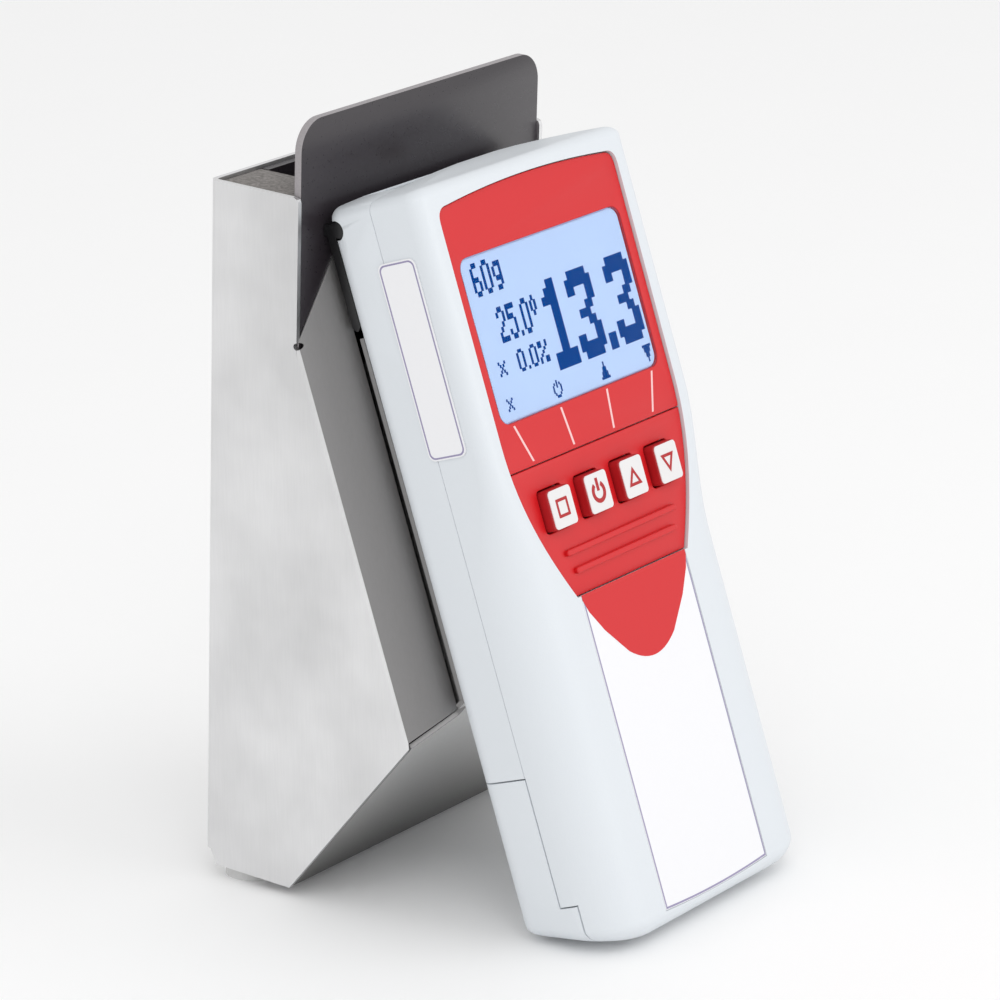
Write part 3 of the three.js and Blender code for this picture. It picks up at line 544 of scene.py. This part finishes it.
def weld(obj, distance=0.001):
    made = bmesh.new()
    made.from_mesh(obj.data)
    bmesh.ops.remove_doubles(made, verts=made.verts, dist=distance)
    bmesh.ops.recalc_face_normals(made, faces=made.faces)
    made.to_mesh(obj.data)
    made.free()


def outward(obj, inside):
    """Turns an open sheet's faces away from a point inside it."""
    facing = sum(p.normal.dot(p.center - inside) * p.area for p in obj.data.polygons)
    if facing < 0:
        obj.data.flip_normals()


def front_sheet():
    """Sloping plate, one fold, mounting plate with its two returns."""
    face = UNIT_BACK - SEAM
    bend = scoop_length_to(face)
    half = HALF - SHEET - SEAM
    toe, neck = (scoop_length_to(n) - 0.1 for n in (GUSSET_N, GUSSET_N + GUSSET_RISE))
    turn = SCOOP - LEAN
    inset = FOLD * math.tan(turn / 2)
    low = bend - inset
    reach = HALF - GUSSET_REACH
    step = low - 1.4  # where the sloping plate widens to the mounting plate
    slope = [(half, 0), (half, toe), (reach, neck), (reach, step)]
    slope += [(MOUNT_HALF, step), (MOUNT_HALF, low)]
    slope += [(-x, s) for x, s in reversed(slope)]
    vertices = [(x, *scoop_at(s)) for x, s in slope]
    faces = [tuple(range(len(vertices)))]
    start = Vector(scoop_at(low))
    across = Vector((math.sin(SCOOP), math.cos(SCOOP)))  # from the outer face into the fold
    centre = start + across * FOLD
    rows = []
    steps = 6
    for i in range(steps + 1):
        angle = turn * i / steps
        out = Matrix.Rotation(-angle, 2) @ (start - centre)
        rows.append(centre + out)
    rows.append(Vector(leaning(face, MOUNT_TOP)))
    for y, z in rows:
        vertices += [(-MOUNT_HALF, y, z), (MOUNT_HALF, y, z)]
    first = len(slope)
    for i in range(len(rows) - 1):
        a = first + 2 * i
        faces.append((a, a + 1, a + 3, a + 2))
    sheet = new_object("front_sheet_looks", vertices, faces)
    weld(sheet)
    outward(sheet, Vector((0, 10, 60)))
    thickened(sheet, SHEET)
    near, deep = face - 0.5, face - RETURN_DEEP
    web = [
        leaning(near, MOUNT_TOP - 1), leaning(deep, MOUNT_TOP - 7),
        leaning(deep, scoop_rise(deep) + 1.5), leaning(near, scoop_rise(near) + 2.5),
    ]
    return_x = MOUNT_HALF - RETURN_IN
    returns = [prism("return", web, "X", around(x, SHEET)) for x in (-return_x, return_x)]
    boolean(sheet, returns, "UNION")
    bevelled(sheet, SHEET_EDGE, 1, 50)
    finished(sheet, CHAMBER, "meter", [PAINTED_SHADE_STEEL, SCOOP_STEEL], ["front_sheet"])
    # the sloping plate's outer face takes the steel with painted shade and reflection; the mounting
    # plate and its returns take the darker copy with painted shade
    downward = (CHAMBER.to_3x3() @ Vector((0, -math.sin(SCOOP), -math.cos(SCOOP)))).normalized()
    for polygon in sheet.data.polygons:
        polygon.material_index = int(polygon.normal.dot(downward) > 0.97)
    return sheet


def measuring_board():
    r = BOARD_CORNER
    outline = [(-BOARD_HALF, BOARD_FOOT), (BOARD_HALF, BOARD_FOOT)]
    outline += arc((BOARD_HALF - r, BOARD_TOP - r), r, 0, 90, 14)
    outline += arc((r - BOARD_HALF, BOARD_TOP - r), r, 90, 180, 14)
    board = prism("measuring_board_looks", outline, "Y", (BOARD_FRONT, BOARD_FRONT + BOARD_T))
    bevelled(board, 0.16, 2, 60)
    finished(board, CHAMBER, "meter", [LAMINATE, CUT_EDGE], ["measuring_board"])
    face = (CHAMBER.to_3x3() @ Vector((0, 1, 0))).normalized()
    for polygon in board.data.polygons:
        polygon.material_index = int(abs(polygon.normal.dot(face)) < 0.8)
    return board


def spacers():
    out = HALF - SHEET - SEAM
    depth = (BOARD_FRONT + BOARD_T + SEAM, DEPTH - SHEET - SEAM)
    sides = (("spacer_left", (-out, -out + SPACER_W)), ("spacer_right", (out - SPACER_W, out)))
    for name, xs in sides:
        block = box(name + "_looks", xs, depth, (BOARD_FOOT, RIM - 0.5))
        bevelled(block, 0.4, 2)
        finished(block, CHAMBER, "meter", SPACER, [name])


def hook_clip():
    back = UNIT_BACK - SEAM
    bead_n, bead_t = UNIT_BACK + GROOVE_SUNK, GROOVE_Z - UNIT_DROP
    high = bead_t + NECK_HALF
    bead = leaning(bead_n, bead_t)
    rear = back - CLIP_T
    leg = [
        leaning(back, CLIP_LOW + 0.8), leaning(back - 0.8, CLIP_LOW),
        leaning(rear + 0.8, CLIP_LOW), leaning(rear, CLIP_LOW + 0.8),
        leaning(rear, high), leaning(back, high),
    ]
    xs = (-MOUNT_HALF, MOUNT_HALF)
    clip = prism("hook_clip_looks", leg, "X", xs)
    inner = rear + 0.1
    neck = [
        leaning(n, bead_t + side * NECK_HALF)
        for n, side in ((bead_n, -1), (inner, -1), (inner, 0.95), (bead_n, 0.95))
    ]
    heel_y, middle = leaning(back - 1, bead_t)
    heel_z = (middle - HEEL_HALF, middle + HEEL_HALF)
    pieces = [
        rod("bead", (-BEAD_HALF, *bead), (BEAD_HALF, *bead), GROOVE_R - SEAM),
        prism("neck", neck, "X", grown(xs, -0.01)),
        box("heel", grown(xs, -0.02), (heel_y, BOARD_FRONT - SEAM), heel_z),
    ]
    boolean(clip, pieces, "UNION")
    bevelled(clip, 0.15, 2)
    return finished(clip, CHAMBER, "meter", MOULDED_BLACK, ["hook_clip"])


# ---- display unit --------------------------------------------------------------------


def smooth(value, low, high):
    t = min(max((value - low) / (high - low), 0), 1)
    return t * t * (3 - 2 * t)


def front_shoulder(z):
    return SHOULDER_GRIP + (SHOULDER_TOP - SHOULDER_GRIP) * smooth(z, *WAIST)


def section(z, wall, in_x, in_y):
    """One ring of the unit's form, counter-clockwise from the right rear corner."""
    half, deep = UNIT_HALF - wall - in_x, UNIT_DEEP - wall - in_y
    back = UNIT_DEEP - wall - in_y * BACK_SHARE
    front = max(front_shoulder(z) - wall - in_y * EDGE_SHARE, 0.8)
    rear = max(BACK_SHOULDER - wall - in_y * EDGE_SHARE, 0.6)
    ring = arc((half - rear, back - rear), rear, 0, 90, 10)
    ring += arc((rear - half, back - rear), rear, 90, 180, 10)
    ring += arc((front - half, front - deep), front, 180, 270, 12)
    ring += arc((half - front, front - deep), front, 270, 360, 12)
    return ring


def end_shift(x, y, top):
    """How far an end's face stands from level: bowed across, and sloped at the bottom."""
    bowed = END_BULGE * min(abs(x) / (UNIT_HALF - CORNER), 1.2) ** 2
    if top:
        return -bowed
    slope = BOTTOM_SLOPE * min(max((y + 8) / 18, 0), 1.1)
    return bowed + slope


ROUNDING = [math.radians(a) for a in range(0, 91, 10)]


def unit_form(name, wall=0.0):
    """The unit's smooth closed form, drawn in by a wall's thickness."""
    length = UNIT_L - 2 * wall
    rings, top_rings = (
        [(r * (1 - math.cos(a)), side * (1 - math.sin(a)), r * (1 - math.sin(a))) for a in ROUNDING]
        for r, side in ((END_ROUND, CORNER * 0.75), (TOP_ROUND, TOP_ROUND))
    )
    heights = [(z + (0 if wall else BOTTOM), ix, iy) for z, ix, iy in rings]
    heights += [(z, 0, 0) for z in (8, 12, 18, 26, 36, 48, 60)]
    heights += [(WAIST[0] + i * (WAIST[1] - WAIST[0]) / 20, 0, 0) for i in range(21)]
    heights += [(z, 0, 0) for z in (104, 112, 120, 130, 138)]
    heights += [(length - z, ix, iy) for z, ix, iy in reversed(top_rings)]
    vertices, faces = [], []
    rows = []
    for z, ix, iy in heights:
        low, high = max(1 - z / BOTTOM_FADE, 0), max(1 - (length - z) / TOP_FADE, 0)
        points = []
        for x, y in section(z + wall, wall, ix, iy):
            shift = low * end_shift(x, y, False) + high * end_shift(x, y, True)
            points.append((x, y, z + wall + shift))
        rows.append(points)
    # each end face, in rings that close towards its middle
    ends = []
    for z_end, top in ((wall or BOTTOM, False), (wall + length, True)):
        edge = rows[-1] if top else rows[0]
        ends.append([
            [(x * k, y * k, z_end + end_shift(x * k, y * k, top)) for x, y, _ in edge]
            for k in (0.8, 0.6, 0.4, 0.2)
        ])
    rows = list(reversed(ends[0])) + rows + ends[1]
    count = len(rows[0])
    for points in rows:
        vertices += points
    for r in range(len(rows) - 1):
        for i in range(count):
            a, b = r * count + i, r * count + (i + 1) % count
            faces.append((a, b, b + count, a + count))
    faces.append(tuple(range(count)))
    last = (len(rows) - 1) * count
    faces.append(tuple(range(last, last + count)))
    form = new_object(name, vertices, faces)
    weld(form, 1e-4)
    return form


def face_outline(by=0.0):
    half, top, low, low_half, r = 28.3 + by, 142.6 + by, 65.3 - by, 18.1 + by, 3
    side_end = 97.3
    points = [(-low_half, low), (low_half, low)]
    points += bezier(points[-1], (24 + by, 75.3), (half, 85.3), (half, side_end))
    points += [(half, top - r)] + bow((half, top - r), (half, top), (half - r, top), 8)
    points += bow((half - r, top), (0, top + 2.6), (r - half, top), 24)
    points += bow((r - half, top), (-half, top), (-half, top - r), 8)
    points += [(-half, side_end)]
    points += bezier((-half, side_end), (-half, 85.3), (-24 - by, 75.3), (-low_half, low))[:-1]
    return points


def label_outline(by=0.0):
    half, low = LABEL_HALF + by, LABEL_Z[0] + 0.6 - by
    points = [(-half, low)] + bow((-half, low), (0, low - 1.2), (half, low), 20)
    return points + [(half, LABEL_Z[1] + by), (-half, LABEL_Z[1] + by)]


def window_outline(by=0.0, r=2.5):
    return rounded(grown(around(0, WINDOW_W), by), grown(around(WINDOW_Z, WINDOW_H), by), r)


def key_x(i):
    return (i - 1.5) * KEY_PITCH


def key_outline(i, by=0.0, r=0.9):
    return rounded(grown(around(key_x(i), KEY_W), by), grown(around(KEY_Z, KEY_H), by), r, 5)


# limits past every piece, for the boxes that keep or cut one side of a form
FAR, BELOW, ABOVE = 60, -10, 200
EVERY_X = (-FAR, FAR)
END_POCKET = ((-24, 24), (-1, 8.6), (UNIT_L - 3.2, UNIT_L + 5))
SOCKET_HOLE = ((-4.6, 4.6), (1.2, 5.4), (130, UNIT_L))


def cover_zone(name, by):
    """What belongs to the battery cover, seen from the side."""
    back, step = 0.15 - by, LIP_Y - by
    top, lip = COVER_TOP + by, LIP_TOP + by
    outline = [(step, BELOW), (FAR, BELOW), (FAR, top), (back, top), (back, lip), (step, lip)]
    return prism(name, outline, "X", EVERY_X)


def front_shell():
    front = unit_form("front_shell_looks")
    boolean(front, [box("keep", EVERY_X, (-FAR, -SHELL_GAP), (BELOW, ABOVE))], "INTERSECT")
    behind = box("keep", EVERY_X, (FRONT + 3, FAR), (BELOW, ABOVE))
    hollow = boolean(unit_form("hollow", WALL), [behind], "INTERSECT")
    pockets = [
        hollow,
        prism("cut", face_outline(0.2), "Y", (FRONT - 1, FACE_Y[1] + 0.15)),
        prism("cut", window_outline(1.4, 1), "Y", (FRONT - 1, FRONT + 4)),
        prism("cut", label_outline(0.15), "Y", (FRONT - 1, FRONT + 0.35)),
        box("cut", *END_POCKET),
        cover_zone("cut", SEAM),
    ]
    pockets += [prism("cut", key_outline(i, 0.35), "Y", (FRONT - 1, FRONT + 4)) for i in range(4)]
    boolean(front, pockets, "DIFFERENCE")
    bevelled(front, 0.06, 1, 50)
    finished(front, UNIT, "meter", WHITE, ["front_shell"])


def rear_shell():
    groove_y = UNIT_DEEP - GROOVE_SUNK
    rear = unit_form("rear_shell_looks")
    boolean(rear, [box("keep", EVERY_X, (SHELL_GAP, FAR), (COVER_TOP + SEAM, ABOVE))], "INTERSECT")
    below = box("keep", EVERY_X, (-FAR, FAR), (BELOW, 138))
    hollow = boolean(unit_form("hollow", WALL), [below], "INTERSECT")
    tools = [hollow, rod("cut", (-FAR, groove_y, GROOVE_Z), (FAR, groove_y, GROOVE_Z), GROOVE_R)]
    tools.append(box("cut", EVERY_X, (groove_y, FAR), (GROOVE_Z - GROOVE_R, GROOVE_Z + GROOVE_R)))
    tools.append(box("cut", *END_POCKET))
    tools += [
        rod("cut", (x, UNIT_DEEP - SCREW_SUNK, z), (x, UNIT_DEEP + 1, z), SCREW_HOLE)
        for x in (-SCREW_X, SCREW_X)
        for z in SCREW_Z
    ]
    tools.append(box("cut", *SOCKET_HOLE))
    boolean(rear, tools, "DIFFERENCE")
    bevelled(rear, 0.06, 1, 50)
    finished(rear, UNIT, "meter", WHITE, ["rear_shell"])


def battery_cover():
    cover = unit_form("battery_cover_looks")
    boolean(cover, [cover_zone("keep", 0)], "INTERSECT")
    boolean(cover, [unit_form("hollow", WALL)], "DIFFERENCE")
    bevelled(cover, 0.15, 2, 50)
    finished(cover, UNIT, "cover", WHITE, ["battery_cover"])


def red_face():
    bezel = prism("display_bezel_looks", face_outline(), "Y", FACE_Y)
    window = prism("cut", window_outline(), "Y", grown(FACE_Y, 1))
    below = box("cut", EVERY_X, (-FAR, FAR), (BELOW, FACE_SEAM + FACE_GAP))
    boolean(bezel, [window, below], "DIFFERENCE")
    bevelled(bezel, 0.25, 3)
    finished(bezel, UNIT, "meter", RED, ["display_bezel"])

    mat = prism("keypad_mat_looks", face_outline(), "Y", FACE_Y)
    holes = [prism("cut", key_outline(i, 0.3), "Y", grown(FACE_Y, 1)) for i in range(4)]
    above = box("cut", EVERY_X, (-FAR, FAR), (FACE_SEAM - FACE_GAP, ABOVE))
    boolean(mat, holes + [above], "DIFFERENCE")
    bevelled(mat, 0.25, 3)
    finished(mat, UNIT, "meter", RED, ["keypad_mat"])
    for z, half in RIBS:
        outline = rounded((-half, half), (z - RIB_HALF, z + RIB_HALF), RIB_HALF - 0.02, 6)
        rib = prism("rib", outline, "Y", (FACE_Y[0] - 0.9, FACE_Y[0] + 0.3))
        bevelled(rib, 0.3, 3)
        finished(rib, UNIT, "meter", RED)

    top, foot, wide = WINDOW_Z - WINDOW_H / 2 - 0.6, FACE_SEAM + 0.9, 0.28
    for i in range(len(KEYS)):
        a, b = key_x(i) * 1.29, key_x(i) * 1.12  # the lines spread towards the window
        outline = [(a - wide, top), (a + wide, top), (b + wide, foot), (b - wide, foot)]
        line = prism("guide_line", outline, "Y", (FACE_Y[0] - 0.03, FACE_Y[0] + 0.05))
        finished(line, UNIT, "meter", PRINT_PINK)


def triangle(centre, size, up):
    x, z = centre
    base = z - up * size * 0.8
    return [(x - size, base), (x + size, base), (x, z + up * size * 0.95)]


def shrunk(outline, centre, share):
    return [tuple(c + (p - c) * share for p, c in zip(point, centre)) for point in outline]


def ring_mesh(name, outer, inner, span):
    """A flat band between two outlines, pushed along Y."""
    count = len(outer)
    vertices = [(u, w, v) for w in span for loop in (outer, inner) for u, v in loop]
    faces = []
    far = 2 * count
    for i in range(count):
        j = (i + 1) % count
        o0, o1, i0, i1 = i, j, count + i, count + j
        faces += [(o0, o1, i1, i0), (far + o0, far + o1, far + i1, far + i0)]
        faces += [(o0, o1, far + o1, far + o0), (i0, i1, far + i1, far + i0)]
    return new_object(name, vertices, faces)


def keys():
    top = FRONT - KEY_PROUD
    for i, name in enumerate(KEYS):
        body = name + "_button"
        cap = prism("key_" + name + "_looks", key_outline(i), "Y", (top, FRONT + KEY_DEEP))
        bevelled(cap, 0.45, 4)
        finished(cap, UNIT, body, RED_RUBBER, ["key_" + name])
        plate = prism("key_top", key_outline(i, -0.2, 0.75), "Y", (top - 0.08, top + 0.1))
        finished(plate, UNIT, body, PRINT_WHITE)
        centre, span = (key_x(i), KEY_Z), (top - 0.12, top)
        if name == "power":
            gap = 34  # degrees left open on each side of the bar
            outer, inner = (arc(centre, r, 90 + gap, 450 - gap, 30) for r in (2.15, 1.3))
            marks = [prism("mark", outer + inner[::-1], "Y", span)]
            bar_x = (centre[0] - 0.4, centre[0] + 0.4)
            marks.append(box("mark", bar_x, span, (KEY_Z + 0.2, KEY_Z + 2.7)))
        elif name == "menu":
            outer = rounded((centre[0] - 1.8, centre[0] + 1.8), (KEY_Z - 1.8, KEY_Z + 1.8), 0.15, 2)
            marks = [ring_mesh("mark", outer, shrunk(outer, centre, 0.68), span)]
        else:
            outer = triangle(centre, 2.1, 1 if name == "up" else -1)
            middle = (centre[0], sum(v for _, v in outer) / 3)
            marks = [ring_mesh("mark", outer, shrunk(outer, middle, 0.52), span)]
        for mark in marks:
            finished(mark, UNIT, body, RED_RUBBER)


FONT = {
    "0": ".##. #..# #..# #..# #..# #..# .##.",
    "2": ".##. #..# ...# ..#. .#.. #... ####",
    "5": "#### #... ###. ...# ...# #..# .##.",
    "6": ".##. #... #... ###. #..# #..# .##.",
    "g": ".... .### #..# #..# .### ...# .##.",
    ".": ". . . . . . #",
    "o": ".#. #.# #.# .#. ... ... ...",
    "%": "##..# ##..# ...#. ..#.. .#... #..## #..##",
    "x": "#...# .#.#. ..#.. .#.#. #...#",
    "p": "...#... .#.#.#. #..#..# #.....# #.....# .#...#. ..###..",
    "u": "...#... ...#... ..###.. ..###.. .#####. .#####. #######",
    "d": "####### .#####. .#####. ..###.. ..###.. ...#... ...#...",
}
BIG = {
    "1": "..##.. .###.. ####.. ..##.. ..##.. ..##.. ..##.. ..##.. ..##.. ###### ######",
    "3": ".#####. ####### ##...## .....## ....##. ..###.. ....##. .....## ##...## ####### .#####.",
    ".": ".. .. .. .. .. .. .. .. .. ## ##",
}
DOT_X, DOT_Z = WINDOW_W / 128, WINDOW_H / 64
SPREAD = 0.06  # how far a dot spreads past its cell, in cells
DOT_Y = (LCD_Y - 0.05, LCD_Y - 0.01)
# font, text, its column and row, and the width and height of its cells, all in dots
LINES = (
    (FONT, "60g", 8, 3, 1.6, 1.8),
    (FONT, "25.0o", 18, 21.5, 1.55, 1.9),
    (FONT, "x", 10, 41, 1.1, 1.1),
    (FONT, "0.0%", 25, 39, 1.4, 1.2),
    (BIG, "13.3", 54, 18, 2.84, 3.1),
)
SIGNS = (("x", 9), ("p", 45), ("u", 83), ("d", 119))  # marks over the keys, and their columns
SIGN_ROW, SIGN_CELL = 55, 0.95
DOT_FACES = ((0, 1, 2, 3), (4, 5, 6, 7), (0, 1, 5, 4), (1, 2, 6, 5), (2, 3, 7, 6), (3, 0, 4, 7))


def write(vertices, faces, font, text, column, row, wide, tall, gap=1):
    """Adds a line of dot-matrix figures, its top left at (column, row) in dots."""
    left, top = -WINDOW_W / 2, WINDOW_Z + WINDOW_H / 2
    for letter in text:
        lines = font[letter].split()
        for r, line in enumerate(lines):
            for c, dot in enumerate(line):
                if dot != "#":
                    continue
                x0, x1 = (left + DOT_X * (column + k * wide) for k in (c - SPREAD, c + 1 + SPREAD))
                z0, z1 = (top - DOT_Z * (row + k * tall) for k in (r + 1 + SPREAD, r - SPREAD))
                first = len(vertices)
                square = ((x0, z0), (x1, z0), (x1, z1), (x0, z1))
                vertices += [(x, y, z) for y in DOT_Y for x, z in square]
                faces += [tuple(first + k for k in quad) for quad in DOT_FACES]
        column += (len(lines[0]) + gap) * wide


def display():
    behind = FACE_Y[1] + 0.25
    panel_z = (WINDOW_Z - LCD_HALF_H, WINDOW_Z + LCD_HALF_H)
    panel = box("lcd_panel", (-LCD_HALF_W, LCD_HALF_W), (behind, behind + 1.65), panel_z)
    boolean(panel, [prism("glass", window_outline(-0.3, 2.2), "Y", (LCD_Y, behind + 0.5))], "UNION")
    bevelled(panel, 0.1, 1)
    finished(panel, UNIT, "meter", LCD_GLOW, ["lcd_cell"])
    vertices, faces = [], []
    for font, text, column, row, wide, tall in LINES:
        write(vertices, faces, font, text, column, row, wide, tall)
    for sign, column in SIGNS:
        write(vertices, faces, FONT, sign, column, SIGN_ROW, SIGN_CELL, SIGN_CELL)
    dots = new_object("lcd_dots", vertices, faces)
    finished(dots, UNIT, "meter", LCD_DOT)
    lens_y = (FACE_Y[0] + 0.05, FACE_Y[0] + 0.4)
    lens = prism("display_window_looks", window_outline(-0.2, 2.3), "Y", lens_y)
    bevelled(lens, 0.12, 2)
    finished(lens, UNIT, "meter", LENS, ["display_window"])


def labels():
    film = (FRONT + 0.02, FRONT + 0.32)
    sheet = prism("front_label_looks", label_outline(), "Y", film)
    bevelled(sheet, 0.08, 1)
    finished(sheet, UNIT, "meter", LABEL, ["front_label"])
    print_span = (film[0] - 0.02, film[0] + 0.02)
    outer, inner = label_outline(-0.15), label_outline(-0.5)
    line = ring_mesh("label_line", outer, inner, print_span)
    finished(line, UNIT, "meter", PRINT_VIOLET)
    tongue_top = LABEL_Z[1] + 0.22  # up to the keypad mat
    tongue = [(-LABEL_HALF, tongue_top)]
    tongue += [(-LABEL_HALF, 64.2), (-16.2, 61.8), (-13, 57.3), (-7.5, 51.6)]
    tongue += bow((-7.5, 51.6), (0, 46.2), (7.5, 51.6), 14)
    tongue += [(13, 57.3), (16.2, 61.8), (LABEL_HALF, 64.2), (LABEL_HALF, tongue_top)]
    red = prism("label_tongue", tongue, "Y", (film[0] - 0.04, film[0] + 0.01))
    finished(red, UNIT, "meter", RED)

    span = (-UNIT_HALF - 0.3, -UNIT_HALF - 0.05)
    seal = prism("side_seal_looks", rounded(SEAL_Y, SEAL_Z, 1.5), "X", span)
    finished(seal, UNIT, "meter", LABEL, ["side_seal"])
    outer, inner = (
        rounded(grown(SEAL_Y, -inset), grown(SEAL_Z, -inset), r)
        for inset, r in ((0.3, 1.3), (0.62, 1.1))
    )
    edge = ring_mesh("seal_line", outer, inner, (span[0] - 0.02, span[0] + 0.02))
    swap_xy = Matrix(((0, 1, 0, 0), (1, 0, 0, 0), (0, 0, 1, 0), (0, 0, 0, 1)))
    edge.data.transform(swap_xy)  # a ring lies across Y, and the seal across X
    finished(edge, UNIT, "meter", PRINT_VIOLET)


# ---- studio ---------------------------------------------------------------------------


def area_light(name, size, power, place, target, colour=(1, 1, 1)):
    data = bpy.data.lights.new(name, "AREA")
    data.shape = "RECTANGLE"
    data.size, data.size_y = size
    data.energy = power
    data.color = colour
    light = bpy.data.objects.new(name, data)
    light.location = place
    light.rotation_euler = (Vector(target) - Vector(place)).to_track_quat("-Z", "Y").to_euler()
    bpy.context.scene.collection.objects.link(light)


def studio():
    floor = prism("floor", circle((0, 0), 4000, 96), "Z", (-5, 0))
    floor.data.transform(MILLIMETRES)
    pale = surface(
        "pale floor", (0.97, 0.97, 0.97), 0.75, spread=0.004, grain=20, bump=0.0, rough_spread=0.02
    )
    floor.data.materials.append(pale)
    world = bpy.data.worlds.new("studio")
    bpy.context.scene.world = world
    world.use_nodes = True
    background = world.node_tree.nodes["Background"]
    background.inputs["Color"].default_value = (1, 1, 1, 1)
    background.inputs["Strength"].default_value = 0.85
    middle = (0, 0, 0.07)
    area_light("key", (0.9, 0.9), 4, (-0.9, -0.7, 1.2), middle)
    area_light("fill", (1.2, 1.2), 5, (0.5, -1.3, 0.7), middle)
    bpy.context.scene.view_settings.view_transform = "Standard"


def camera():
    """The viewpoint, given in the chamber's own frame."""
    place = Vector((-752.3, -558.2, 391.8))
    yaw, rise, roll = (math.radians(a) for a in (54.42, 18.97, 1.571))
    level = math.cos(rise)
    back = Vector((-math.sin(yaw) * level, -math.cos(yaw) * level, math.sin(rise)))
    right = Vector((math.cos(yaw), -math.sin(yaw), 0))
    up = back.cross(right)
    turned = right * math.cos(roll) + up * math.sin(roll)
    upright = up * math.cos(roll) - right * math.sin(roll)
    axes = Matrix((turned, upright, back)).transposed().to_4x4()
    pose = (CHAMBER @ Matrix.Scale(1000, 4)).to_3x3().normalized().to_4x4()
    pose.translation = CHAMBER @ place
    data = bpy.data.cameras.new("camera")
    data.sensor_width = 36
    data.lens = 182.5
    data.clip_start = 0.05
    viewer = bpy.data.objects.new("camera", data)
    viewer.matrix_world = pose @ axes
    bpy.context.scene.collection.objects.link(viewer)
    bpy.context.scene.camera = viewer


paint_cad_nodes()
chamber_shell()
front_sheet()
measuring_board()
spacers()
hook_clip()
front_shell()
rear_shell()
battery_cover()
red_face()
keys()
display()
labels()
studio()
camera()

bpy.context.view_layer.update()
